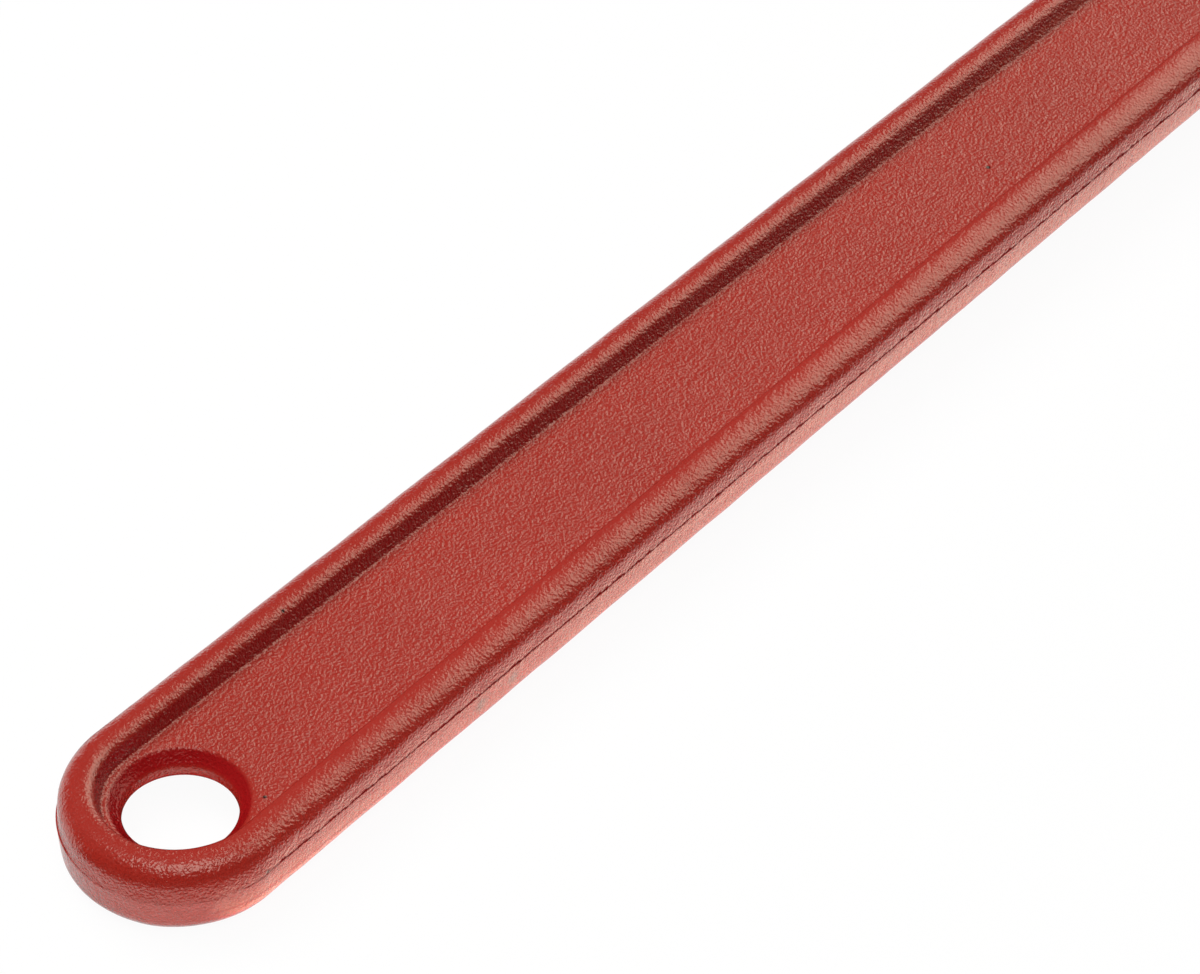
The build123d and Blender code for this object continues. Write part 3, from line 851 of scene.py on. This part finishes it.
def red_enamel(context, name, sheared):
    """Semi-gloss red enamel sprayed on a shot-blasted forging.

    The eye sees the blast grain through the paint as a fine leathery skin with a broad sheen, a few
    open pits, and on a sheared side upright tool marks with grey rubs. The real grain is finer and
    lower: it is drawn as coarse and as high as it needs to show.
    """
    look = context.scene.wrench_finishes
    material, tree = new_material(name)
    place = add_node(tree, "TexCoord")
    spot = place.outputs["Object"]
    grain = add_node(
        tree, "TexNoise",
        {"Vector": spot, "Scale": 1 / look.grain_width, "Detail": 1.0, "Roughness": 0.5, "Distortion": 0.2},
    )
    peel = add_node(
        tree, "TexNoise",
        {"Vector": spot, "Scale": 1 / (PEEL_WIDTH * look.grain_width), "Detail": 1.0, "Roughness": 0.5},
    )
    drift = add_node(
        tree, "TexNoise", {"Vector": spot, "Scale": 1 / DRIFT, "Detail": 3.0, "Roughness": 0.6},
    )
    cells = add_node(tree, "TexVoronoi", {"Vector": spot, "Scale": 1 / PIT_SPACING}, feature="F1")
    chosen = add_node(tree, "SeparateColor", {"Color": cells.outputs["Color"]})
    rare = add_node(tree, "Math", {0: chosen.outputs["Red"], 1: PIT_FREE}, operation="GREATER_THAN")
    near = add_node(
        tree, "MapRange",
        {"Value": cells, "From Min": PIT_CORE / PIT_SPACING, "From Max": PIT_EDGE / PIT_SPACING,
         "To Min": 1.0, "To Max": 0.0},
    )
    pit = add_node(tree, "Math", {0: near, 1: rare}, operation="MULTIPLY")
    tone = add_node(
        tree, "Mix", {0: drift, 6: to_linear(look.paint_deep), 7: to_linear(look.paint)}, data_type="RGBA",
    )
    colour = add_node(tree, "Mix", {0: pit, 6: tone, 7: to_linear(look.pit)}, data_type="RGBA")
    full = add_node(tree, "Math", {0: grain, 1: look.grain_height / MM}, operation="MULTIPLY")
    coarse = web_share(tree, spot) if sheared else RIM_GRAIN
    grain_mm = add_node(tree, "Math", {0: full, 1: coarse}, operation="MULTIPLY")
    peel_mm = add_node(tree, "Math", {0: peel, 1: PEEL_HEIGHT, 2: grain_mm}, operation="MULTIPLY_ADD")
    height = add_node(tree, "Math", {0: pit, 1: -PIT_DEPTH, 2: peel_mm}, operation="MULTIPLY_ADD")
    surface = {"IOR": 1.75, "Specular Tint": to_linear(look.sheen)}
    if sheared:
        sizes = context.scene.wrench_handle
        # On the handle, handle_marks paints shade on the pocket's walls, the hole's flare and the parting
        # line, and dulls the sheen there
        colour, height, dull = handle_marks(tree, look, sizes, place, colour, height)
        shine = add_node(tree, "MapRange", {"Value": dull, "To Min": 0.5, "To Max": 0.0})
        surface["Specular IOR Level"] = shine
    surface["Base Color"] = colour
    surface["Roughness"] = add_node(tree, "MapRange", {"Value": peel, "To Min": 0.14, "To Max": 0.2})
    surface["Normal"] = add_node(tree, "Bump", {"Height": height, "Strength": 1.0, "Distance": MM})
    add_node(tree, "OutputMaterial", {"Surface": add_node(tree, "BsdfPrincipled", surface)})
    return material


def off_axis(tree, spot):
    """Distance from the handle's axis, which starts at the hanging hole."""
    axes = add_node(tree, "SeparateXYZ", {"Vector": spot})
    behind = add_node(tree, "Math", {0: axes.outputs["X"], 1: 0.0}, operation="MINIMUM")
    flat = add_node(tree, "CombineXYZ", {"X": behind, "Y": axes.outputs["Y"]})
    return add_node(tree, "VectorMath", {0: flat}, operation="LENGTH")


def from_hole(tree, spot):
    """Distance from the hanging hole's axis."""
    level = add_node(tree, "VectorMath", {0: spot, 1: (1.0, 1.0, 0.0)}, operation="MULTIPLY")
    return add_node(tree, "VectorMath", {0: level}, operation="LENGTH")


def web_share(tree, spot):
    """Share of the grain's height that shows: all on the web, less on the rims and in the machined hole."""
    web = add_node(
        tree, "MapRange",
        {"Value": off_axis(tree, spot), "From Min": POCKET_FOOT[0], "From Max": POCKET_FOOT[1],
         "To Min": 1.0, "To Max": RIM_GRAIN},
    )
    outside = add_node(
        tree, "MapRange",
        {"Value": from_hole(tree, spot), "From Min": HOLE_MOUTH[0], "From Max": HOLE_MOUTH[1],
         "To Min": HOLE_GRAIN, "To Max": 1.0},
    )
    return add_node(tree, "Math", {0: web, 1: outside}, operation="MULTIPLY")


def spots(tree, spot, places):
    """A mask that is 1 at each listed place, given as x, y, z and radius in millimetres."""
    mask = 0.0
    for x, y, z, radius in places:
        away = add_node(tree, "VectorMath", {0: spot, 1: (x * MM, y * MM, z * MM)}, operation="DISTANCE")
        disc = add_node(
            tree, "MapRange",
            {"Value": away, "From Min": SPOT_CORE * radius * MM, "From Max": radius * MM,
             "To Min": 1.0, "To Max": 0.0},
        )
        mask = add_node(tree, "Math", {0: disc, 1: mask}, operation="MAXIMUM")
    return mask


def handle_marks(tree, look, sizes, place, colour, height):
    """Marks of the handle alone: painted shade on the pocket's walls, the hole's flare and the parting
    line, shear marks, pits and rubs.

    Gives back the colour, the height and where the sheen is dulled, which is where shade is painted on the
    flare and the parting line.
    """
    split = sizes.parting_height
    spot = place.outputs["Object"]
    axes = add_node(tree, "SeparateXYZ", {"Vector": spot})
    facing = add_node(tree, "SeparateXYZ", {"Vector": place.outputs["Normal"]})
    tilt = add_node(tree, "Math", {0: facing.outputs["Z"]}, operation="ABSOLUTE")
    upright = add_node(
        tree, "MapRange", {"Value": tilt, "From Min": 0.3, "From Max": 0.5, "To Min": 1.0, "To Max": 0.0},
    )
    reach = off_axis(tree, spot)
    inner = add_node(tree, "Math", {0: reach, 1: WALL_MIDDLE, 2: WALL_REACH}, operation="COMPARE")
    walls = add_node(tree, "Math", {0: upright, 1: inner}, operation="MULTIPLY")
    outer = add_node(tree, "Math", {0: reach, 1: WALL_MIDDLE + WALL_REACH}, operation="GREATER_THAN")
    side = add_node(tree, "Math", {0: upright, 1: outer}, operation="MULTIPLY")
    mouth = sizes.pocket_radius - sizes.hole_ledge
    middle, half_flare = (mouth + sizes.hole_radius) / 2, (mouth - sizes.hole_radius) / 2
    off_flare = add_node(tree, "Math", {0: from_hole(tree, spot), 1: middle}, operation="SUBTRACT")
    beside_flare = add_node(tree, "Math", {0: off_flare}, operation="ABSOLUTE")
    flare = add_node(
        tree, "MapRange",
        {"Value": beside_flare, "From Min": FLARE_CORE * half_flare, "From Max": FLARE_FADE * half_flare,
         "To Min": 1.0, "To Max": 0.0},
    )
    # Painted shade: the pocket's walls and the hole's flare are mixed towards a darker red
    painted_shade = add_node(tree, "Math", {0: flare, 1: FLARE_SHADE, 2: walls}, operation="MULTIPLY_ADD")
    colour = add_node(tree, "Mix", {0: painted_shade, 6: colour, 7: to_linear(look.paint_wall_shade)}, data_type="RGBA")

    under = add_node(
        tree, "MapRange",
        {"Value": axes.outputs["Z"], "From Min": split - SHEAR_FADE, "From Max": split,
         "To Min": 1.0, "To Max": 0.0},
    )
    sheared = add_node(tree, "Math", {0: side, 1: under}, operation="MULTIPLY")
    squeezed = add_node(tree, "Mapping", {"Vector": spot, "Scale": (1.0, 1.0, SHEAR_STRETCH)})
    marks = add_node(
        tree, "TexNoise", {"Vector": squeezed, "Scale": 1 / SHEAR_WIDTH, "Detail": 3.0, "Roughness": 0.65},
    )
    depth = add_node(tree, "Math", {0: marks, 1: sheared}, operation="MULTIPLY")
    height = add_node(tree, "Math", {0: depth, 1: SHEAR_DEPTH, 2: height}, operation="MULTIPLY_ADD")

    # Painted shade along the parting line: a dark, wandering line that stands for the groove's shade, with
    # its sheen dulled too
    jag = add_node(
        tree, "TexNoise", {"Vector": squeezed, "Scale": 1 / LINE_SHADE_JAG, "Detail": 4.0, "Roughness": 0.7},
    )
    wander = add_node(
        tree, "MapRange",
        {"Value": jag, "From Min": 0.2, "From Max": 0.8,
         "To Min": -split - LINE_SHADE_WANDER, "To Max": -split + LINE_SHADE_WANDER},
    )
    from_line = add_node(tree, "Math", {0: axes.outputs["Z"], 1: wander}, operation="ADD")
    off_line = add_node(tree, "Math", {0: from_line}, operation="ABSOLUTE")
    line = add_node(
        tree, "MapRange",
        {"Value": off_line, "From Min": LINE_SHADE_CORE, "From Max": LINE_SHADE_EDGE, "To Min": 1.0, "To Max": 0.0},
    )
    beam = add_node(
        tree, "MapRange",
        {"Value": axes.outputs["X"], "From Min": LINE_SHADE_NOSE[0], "From Max": LINE_SHADE_NOSE[1],
         "To Min": 0.1, "To Max": 1.0},
    )
    faded = add_node(tree, "Math", {0: line, 1: beam}, operation="MULTIPLY")
    line_shade = add_node(tree, "Math", {0: faded, 1: side}, operation="MULTIPLY")
    streaks = add_node(tree, "Math", {0: spots(tree, spot, RUBS), 1: marks}, operation="MULTIPLY")
    # The parting line's painted shade, the pits and the grey rubs are mixed into the colour
    for mask, mark in ((line_shade, look.parting_shade), (spots(tree, spot, PITS), look.pit), (streaks, look.scuff)):
        colour = add_node(tree, "Mix", {0: mask, 6: colour, 7: to_linear(mark)}, data_type="RGBA")
    dull = add_node(tree, "Math", {0: flare, 1: FLARE_SHADE, 2: line_shade}, operation="MULTIPLY_ADD")
    return colour, height, dull


def worn_steel(context, name, coating, wear, roughness):
    """Coated steel that work has rubbed bright.

    The eye sees a dull, nearly black skin with a fine tooth, and clear metal where it is worn. The
    coating's crystals are far finer than the tooth that stands for them here, which is coarse enough
    to show. Wear takes the node tree and the piece's coordinates and gives a node that is 1 on worn steel.
    """
    look = context.scene.wrench_finishes
    material, tree = new_material(name)
    spot = add_node(tree, "TexCoord").outputs["Object"]
    tooth = add_node(
        tree, "TexNoise", {"Vector": spot, "Scale": 1 / (1.2 * MM), "Detail": 4.0, "Roughness": 0.6},
    )
    cloud = add_node(
        tree, "TexNoise", {"Vector": spot, "Scale": 1 / (14 * MM), "Detail": 4.0, "Roughness": 0.65},
    )
    patchy = add_node(
        tree, "MapRange", {"Value": cloud, "From Min": 0.3, "From Max": 0.6, "To Min": 0.35, "To Max": 1.0},
    )
    bare = add_node(tree, "Math", {0: wear(tree, spot), 1: patchy}, operation="MULTIPLY")
    dark = to_linear(coating)
    lighter = [min(1.0, COATING_THIN * c) for c in dark[:3]] + [1.0]
    skin = add_node(tree, "Mix", {0: cloud, 6: dark, 7: lighter}, data_type="RGBA")
    bright = to_linear(look.bright)
    surface = {
        "Base Color": add_node(tree, "Mix", {0: bare, 6: skin, 7: bright}, data_type="RGBA"),
        "Metallic": add_node(tree, "MapRange", {"Value": bare, "To Min": 0.55, "To Max": 1.0}),
        "Roughness": add_node(tree, "MapRange", {"Value": bare, "To Min": roughness, "To Max": 0.28}),
        "Normal": add_node(tree, "Bump", {"Height": tooth, "Strength": 0.5, "Distance": 0.06 * MM}),
    }
    add_node(tree, "OutputMaterial", {"Surface": add_node(tree, "BsdfPrincipled", surface)})
    return material


def beyond_plane(tree, spot, direction, offset, fade):
    """A mask that is 1 where a point lies further along direction than offset, softened over fade."""
    reach = add_node(tree, "VectorMath", {0: spot, 1: direction}, operation="DOT_PRODUCT")
    return add_node(tree, "MapRange", {"Value": reach, "From Min": offset, "From Max": offset + fade})


def beyond_radius(tree, spot, radius, fade):
    """A mask that is 1 further than radius from the nut's and the shank's axis, softened over fade."""
    arm = add_node(tree, "VectorMath", {0: spot, 1: tuple(NUT_MIDDLE)}, operation="SUBTRACT")
    flat = add_node(tree, "VectorMath", {0: arm, 1: (0.0, 1.0, 1.0)}, operation="MULTIPLY")
    length = add_node(tree, "VectorMath", {0: flat}, operation="LENGTH")
    return add_node(tree, "MapRange", {"Value": length, "From Min": radius, "From Max": radius + fade})


def heel_wear(tree, spot):
    """The tips of the heel jaw's teeth."""
    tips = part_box("heel_jaw")[1].x
    return beyond_plane(tree, spot, (1.0, 0.0, 0.0), tips - TOOTH, TOOTH / 2)


def hook_wear(tree, spot):
    """The tips of the hook jaw's teeth, on its front alone, and the crests of its shank's thread."""
    length = math.hypot(1, HOOK_LEAN)
    toward_heel = (-1 / length, -HOOK_LEAN / length, 0.0)
    tips = toward_heel[0] * HOOK_TEETH[0] + toward_heel[1] * HOOK_TEETH[1]
    teeth = beyond_plane(tree, spot, toward_heel, tips - TOOTH, TOOTH / 2)
    front = beyond_plane(tree, spot, (0.0, -1.0, 0.0), HOOK_FRONT, HOOK_FRONT_FADE)
    bitten = add_node(tree, "Math", {0: teeth, 1: front}, operation="MULTIPLY")
    crests = beyond_radius(tree, spot, THREAD_CREST, THREAD_FADE)
    axes = add_node(tree, "SeparateXYZ", {"Vector": spot})
    on_shank = add_node(tree, "Math", {0: axes.outputs["X"], 1: THREAD_END}, operation="LESS_THAN")
    rubbed = add_node(tree, "Math", {0: crests, 1: on_shank}, operation="MULTIPLY")
    return add_node(tree, "Math", {0: bitten, 1: rubbed}, operation="MAXIMUM")


def nut_wear(tree, spot):
    """The adjusting nut's ridges."""
    return beyond_radius(tree, spot, (NUT_HIGH.y - NUT_LOW.y) / 2 - RIDGE, RIDGE_FADE)


def turned_steel(name, colour, axis_rotation):
    """Plain steel turned on a lathe: grey metal with rings about its axis.

    The real rings are far finer. They are drawn as far apart as they need to be to show.
    """
    material, tree = new_material(name)
    spot = add_node(tree, "TexCoord").outputs["Object"]
    centred = add_node(tree, "Mapping", {"Vector": spot, "Rotation": axis_rotation})
    rings = add_node(
        tree, "TexWave",
        {"Vector": centred, "Scale": WAVE / RING_SPACING, "Distortion": 0.6, "Detail": 2.0},
        wave_type="BANDS", bands_direction="Z",
    )
    dull = add_node(
        tree, "TexNoise", {"Vector": spot, "Scale": 1 / (3 * MM), "Detail": 4.0, "Roughness": 0.65},
    )
    clean = to_linear(colour)
    darker = [TURNED_DULL * c for c in clean[:3]] + [1.0]
    surface = {
        "Base Color": add_node(tree, "Mix", {0: dull, 6: darker, 7: clean}, data_type="RGBA"),
        "Metallic": 1.0,
        "Roughness": add_node(tree, "MapRange", {"Value": dull, "To Min": 0.26, "To Max": 0.5}),
        "Normal": add_node(
            tree, "Bump", {"Height": rings.outputs["Fac"], "Strength": 0.35, "Distance": 0.03 * MM},
        ),
    }
    add_node(tree, "OutputMaterial", {"Surface": add_node(tree, "BsdfPrincipled", surface)})
    return material


def blued_spring(context, name):
    """Ground strip steel tempered blue: a dark blue sheen with straw clouds and lengthwise grinding lines.

    The grinding lines are drawn 0.4 mm wide, coarser than they are, so that they show.
    """
    look = context.scene.wrench_finishes
    material, tree = new_material(name)
    spot = add_node(tree, "TexCoord").outputs["Object"]
    drawn = add_node(tree, "Mapping", {"Vector": spot, "Scale": (0.04, 1.0, 1.0)})
    lines = add_node(
        tree, "TexNoise", {"Vector": drawn, "Scale": 1 / (0.4 * MM), "Detail": 3.0, "Roughness": 0.6},
    )
    cloud = add_node(tree, "TexNoise", {"Vector": spot, "Scale": 1 / (8 * MM), "Detail": 3.0})
    blue, straw = to_linear(look.blued), to_linear(look.straw)
    surface = {
        "Base Color": add_node(tree, "Mix", {0: cloud, 6: blue, 7: straw}, data_type="RGBA"),
        "Metallic": 1.0,
        "Roughness": add_node(tree, "MapRange", {"Value": lines, "To Min": 0.22, "To Max": 0.42}),
        "Normal": add_node(tree, "Bump", {"Height": lines, "Strength": 0.4, "Distance": 0.02 * MM}),
    }
    add_node(tree, "OutputMaterial", {"Surface": add_node(tree, "BsdfPrincipled", surface)})
    return material


def dress(node, material):
    """Give a CAD piece its finish."""
    piece = frame["nodes"][node]
    piece.data.materials.clear()
    piece.data.materials.append(material)


class WRENCH_OT_paint_frame(bpy.types.Operator):
    """Paint the frame like the handle"""

    bl_idname = "wrench.paint_frame"
    bl_label = "Paint Frame"

    def execute(self, context):
        dress("frame", red_enamel(context, "red enamel on blasted frame", False))
        return {"FINISHED"}


class WRENCH_OT_finish_jaws(bpy.types.Operator):
    """Give both jaws black phosphate with bright worn teeth, and the shank a worn thread"""

    bl_idname = "wrench.finish_jaws"
    bl_label = "Finish Jaws"

    def execute(self, context):
        coating = context.scene.wrench_finishes.phosphate
        for node, name, wear in (
            ("heel_jaw", "black phosphate heel jaw", heel_wear),
            ("hook_jaw", "black phosphate hook jaw", hook_wear),
        ):
            dress(node, worn_steel(context, name, coating, wear, roughness=0.55))
        return {"FINISHED"}


class WRENCH_OT_finish_nut(bpy.types.Operator):
    """Give the adjusting nut black oxide, rubbed bright on its ridges"""

    bl_idname = "wrench.finish_nut"
    bl_label = "Finish Nut"

    def execute(self, context):
        coating = context.scene.wrench_finishes.oxide
        dress("adjusting_nut", worn_steel(context, "black oxide nut", coating, nut_wear, roughness=0.42))
        return {"FINISHED"}


class WRENCH_OT_finish_pins(bpy.types.Operator):
    """Give the pins and rivets a plain turned finish"""

    bl_idname = "wrench.finish_pins"
    bl_label = "Finish Pins"

    def execute(self, context):
        colour = context.scene.wrench_finishes.turned
        upright = turned_steel("turned steel pin", colour, (0.0, 0.0, 0.0))
        across = turned_steel("turned steel rivet", colour, (math.pi / 2, 0.0, 0.0))
        for node in ("heel_jaw_pin", "pivot_pin"):
            dress(node, upright)
        for node in ("frame_spring_rivet", "jaw_spring_rivet"):
            dress(node, across)
        return {"FINISHED"}


def bending_leaf(context, steel):
    """The leaf between neck and frame, cut across along its bow, with a ground end."""
    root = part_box("frame_spring_rivet")[1].x
    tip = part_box("frame_spring")[1].x
    bm = bmesh.new()
    bm.from_mesh(frame["nodes"]["frame_spring"].data)
    bmesh.ops.remove_doubles(bm, verts=bm.verts, dist=WELD)
    for step in range(1, LEAF_CUTS):
        cut = root + (tip - root) * step / LEAF_CUTS
        everything = bm.verts[:] + bm.edges[:] + bm.faces[:]
        bmesh.ops.bisect_plane(bm, geom=everything, plane_co=(cut, 0.0, 0.0), plane_no=(1.0, 0.0, 0.0))
    bm.normal_update()
    for v in bm.verts:
        if v.normal.y < 0:
            v.co.y += LEAF_GRIND * max(0.0, (v.co.x - root) / (tip - root))
    leaf = make_piece(context, bm, "frame_spring_leaf", steel)
    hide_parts("frame_spring")
    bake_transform(leaf)


class WRENCH_OT_form_springs(bpy.types.Operator):
    """Model the leaf between neck and frame, cut across its bow, and give both leaf springs a tempered blue
    finish
    """

    bl_idname = "wrench.form_springs"
    bl_label = "Form Springs"

    def execute(self, context):
        steel = blued_spring(context, "blued spring steel")
        bending_leaf(context, steel)
        dress("jaw_spring", steel)
        return {"FINISHED"}


# Stage

def toward(azimuth, elevation):
    """Direction at an azimuth from +X towards +Y and an elevation."""
    level = math.cos(elevation)
    return Vector((level * math.cos(azimuth), level * math.sin(azimuth), math.sin(elevation)))


def place_camera(context, stage):
    """A camera that sees the hanging hole's centre, which is the origin, at its pixel."""
    forward = toward(stage.heading, -stage.elevation)
    right = forward.cross(Vector((0, 0, 1))).normalized()
    up = right.cross(forward)
    width, height = stage.image_size
    data = bpy.data.cameras.new("camera")
    data.lens = stage.lens
    data.sensor_fit = "HORIZONTAL"
    data.clip_start, data.clip_end = 0.01, 100.0
    per_pixel = data.sensor_width / width / data.lens * stage.distance
    aside = (stage.hole_pixel[0] - width / 2) * per_pixel
    above = (height / 2 - stage.hole_pixel[1]) * per_pixel
    place = -(right * aside + up * above + forward * stage.distance)
    turn = Matrix((right, up, -forward)).transposed()
    camera = bpy.data.objects.new("camera", data)
    camera.matrix_world = Matrix.Translation(place) @ turn.to_4x4()
    context.scene.collection.objects.link(camera)
    context.scene.camera = camera


def place_softbox(
    context, name, place, faces, width_along, size, power, colour="#FFFFFF", mirrored=True, lights=True,
):
    """A rectangular softbox. Mirrored says whether gloss shows it, and lights whether matt surfaces do."""
    data = bpy.data.lights.new(name, "AREA")
    data.shape = "RECTANGLE"
    data.size, data.size_y = size
    data.energy = power
    data.color = to_linear(colour)[:3]
    lamp = bpy.data.objects.new(name, data)
    back = -faces.normalized()
    height_along = back.cross(width_along).normalized()
    turn = Matrix((height_along.cross(back), height_along, back)).transposed()
    lamp.matrix_world = Matrix.Translation(place) @ turn.to_4x4()
    lamp.visible_camera = False
    lamp.visible_glossy = mirrored
    lamp.visible_diffuse = lights
    context.scene.collection.objects.link(lamp)


def white_board(stage):
    """Matt white board: white to the eye and in reflections, and still dimmed by the object's shadow."""
    material, tree = new_material("matt white board")
    material.cycles.emission_sampling = "NONE"
    path = add_node(tree, "LightPath")
    shown = path.outputs["Is Camera Ray"]
    for ray in ("Is Glossy Ray", "Is Transmission Ray"):
        shown = add_node(tree, "Math", {0: shown, 1: path.outputs[ray]}, operation="MAXIMUM")
    share = add_node(tree, "Math", {0: shown, 1: FLOOR_WHITE}, operation="MULTIPLY")
    board = add_node(tree, "BsdfDiffuse", {"Color": to_linear(stage.floor)})
    glow = add_node(tree, "Emission", {"Color": to_linear("#FFFFFF"), "Strength": 1.0})
    both = add_node(tree, "MixShader", {0: share, 1: board, 2: glow})
    add_node(tree, "OutputMaterial", {"Surface": both})
    return material


def black_card():
    """Matt black card, which swallows what the paint would mirror."""
    material, tree = new_material("black card")
    black = add_node(tree, "BsdfDiffuse", {"Color": to_linear("#101010")})
    add_node(tree, "OutputMaterial", {"Surface": black})
    return material


def floor_point(x, y, lift):
    """A point over the floor, which slopes because the wrench lies on its handle's end and on its nut."""
    slope = (NUT_LOW.z - HANDLE_LOW.z) / NUT_MIDDLE.x
    return Vector((x, y, HANDLE_LOW.z + slope * x - FLOOR_GAP + lift))


def set_board(context, name, corners, faces, material):
    """A flat piece of the stage."""
    mesh = bpy.data.meshes.new(name)
    mesh.from_pydata(corners, [], faces)
    mesh.materials.append(material)
    board = bpy.data.objects.new(name, mesh)
    context.scene.collection.objects.link(board)
    return board


def lay_floor(context, stage):
    """A white board under the wrench."""
    half = stage.floor_size / 2
    corners = [floor_point(x * half, y * half, 0.0) for x, y in ((-1, -1), (1, -1), (1, 1), (-1, 1))]
    set_board(context, "floor", corners, [(0, 1, 2, 3)], white_board(stage))


def stand_flag(context, stage):
    """Black cards that only the paint's gloss shows: one beside the handle and one under the hole."""
    path = arc(Vector((0, 0)), CARD_BEND, *CARD_TURN, CARD_STEP) + [Vector(end) for end in CARD_RUN]
    corners = [floor_point(p.x, p.y, lift) for p in path for lift in (0, CARD_HEIGHT)]
    faces = [(i, i + 2, i + 3, i + 1) for i in range(0, len(corners) - 2, 2)]
    faces.append(tuple(range(len(corners), len(corners) + len(CARD_CORNERS))))
    ahead = toward(stage.heading, 0.0)
    for far, across in CARD_CORNERS:
        p = far * ahead + across * Vector((-ahead.y, ahead.x, 0.0))
        corners.append(floor_point(p.x, p.y, FLOOR_GAP / 2))
    flag = set_board(context, "flag", corners, faces, black_card())
    flag.visible_camera = False
    flag.visible_diffuse = False
    flag.visible_shadow = False


def light_room(context, stage):
    """A room that is pale beyond the wrench, on the left, and dim on the right and behind the camera."""
    world = bpy.data.worlds.new("room")
    world.use_nodes = True
    tree = world.node_tree
    tree.nodes.clear()
    place = add_node(tree, "TexCoord")
    leftward = add_node(
        tree, "VectorMath", {0: place.outputs["Generated"], 1: ROOM_LEFT}, operation="DOT_PRODUCT",
    )
    share = add_node(tree, "MapRange", {"Value": leftward, "From Min": -0.3, "From Max": 0.7})
    dark, light = to_linear(stage.room_dark), to_linear(stage.room_light)
    colour = add_node(tree, "Mix", {0: share, 6: dark, 7: light}, data_type="RGBA")
    glow = add_node(tree, "Background", {"Color": colour, "Strength": 1.0})
    add_node(tree, "OutputWorld", {"Surface": glow})
    context.scene.world = world


def hang_softboxes(context, stage):
    """A large sheen to the right, a softbox above the camera and a fill from behind on the left."""
    key = toward(stage.key_azimuth, stage.key_elevation)
    top = toward(stage.heading + math.pi, TOP_ELEVATION)
    fill = toward(FILL_AZIMUTH, FILL_ELEVATION)
    level = Vector((0, 0, 1))
    place_softbox(
        context, "key softbox", AIM + KEY_DISTANCE * key, -key, level.cross(key), KEY_SIZE,
        stage.key_power, stage.key_colour, lights=False,
    )
    place_softbox(
        context, "top softbox", AIM + SOFT_DISTANCE * top, -top, level.cross(top), SOFT_SIZE,
        stage.top_power,
    )
    place_softbox(
        context, "fill", AIM + SOFT_DISTANCE * fill, -fill, level.cross(fill), SOFT_SIZE,
        stage.fill_power, mirrored=False,
    )


def light_board(context, stage):
    """What the board throws back: a bright edge under the handle, and glows beside, below and before it."""
    lengthwise = floor_point(1, 0, 0) - floor_point(0, 0, 0)
    up = lengthwise.cross(Vector((0, 1, 0)))
    nose = -NOSE_REACH * toward(stage.heading, 0.0)
    place_softbox(
        context, "light panel", floor_point(*PANEL_PLACE, FLOOR_GAP), up, lengthwise, PANEL_SIZE,
        stage.panel_power, stage.panel_colour,
    )
    for name, place, width_along, size, power in (
        ("bounce", BOUNCE_PLACE, lengthwise, BOUNCE_SIZE, stage.bounce_power),
        ("hole bounce", (0.0, 0.0), lengthwise, HOLE_GLOW_SIZE, stage.hole_power),
        ("nose bounce", nose.xy, nose.cross(up), NOSE_SIZE, stage.nose_power),
    ):
        place_softbox(
            context, name, floor_point(*place, FLOOR_GAP), up, width_along, size, power, mirrored=False,
        )


class WRENCH_OT_set_stage(bpy.types.Operator):
    """Set the camera, the soft studio light and the white floor"""

    bl_idname = "wrench.set_stage"
    bl_label = "Set Stage"

    def execute(self, context):
        stage = context.scene.wrench_stage
        context.scene.view_settings.view_transform = "Standard"
        for step in (place_camera, light_room, lay_floor, hang_softboxes, light_board, stand_flag):
            step(context, stage)
        return {"FINISHED"}


class VIEW3D_PT_pipe_wrench(bpy.types.Panel):
    """Sidebar panel with the wrench's pieces and sizes"""

    bl_label = "Pipe Wrench"
    bl_space_type = "VIEW_3D"
    bl_region_type = "UI"
    bl_category = "Pipe Wrench"

    def draw(self, context):
        for operator in OPERATORS:
            self.layout.operator(operator.bl_idname)
        for group in GROUPS:
            settings = getattr(context.scene, group)
            box = self.layout.box()
            for name in settings.bl_rna.properties.keys():
                if name not in ("rna_type", "name"):
                    box.prop(settings, name)


GROUPS = {
    "wrench_handle": WrenchHandleSizes,
    "wrench_finishes": WrenchFinishes,
    "wrench_stage": WrenchStage,
}
OPERATORS = (
    WRENCH_OT_set_stage,
    WRENCH_OT_forge_handle,
    WRENCH_OT_paint_frame,
    WRENCH_OT_finish_jaws,
    WRENCH_OT_finish_nut,
    WRENCH_OT_finish_pins,
    WRENCH_OT_form_springs,
)


def register():
    for group, kind in GROUPS.items():
        bpy.utils.register_class(kind)
        setattr(bpy.types.Scene, group, PointerProperty(type=kind))
    for operator in OPERATORS:
        bpy.utils.register_class(operator)
    bpy.utils.register_class(VIEW3D_PT_pipe_wrench)


def unregister():
    bpy.utils.unregister_class(VIEW3D_PT_pipe_wrench)
    for operator in reversed(OPERATORS):
        bpy.utils.unregister_class(operator)
    for group, kind in GROUPS.items():
        delattr(bpy.types.Scene, group)
        bpy.utils.unregister_class(kind)


def main():
    register()
    bpy.ops.wrench.set_stage()
    bpy.ops.wrench.forge_handle()
    bpy.ops.wrench.paint_frame()
    bpy.ops.wrench.finish_jaws()
    bpy.ops.wrench.finish_nut()
    bpy.ops.wrench.finish_pins()
    bpy.ops.wrench.form_springs()
    bpy.context.view_layer.update()


if __name__ == "__main__":
    main()
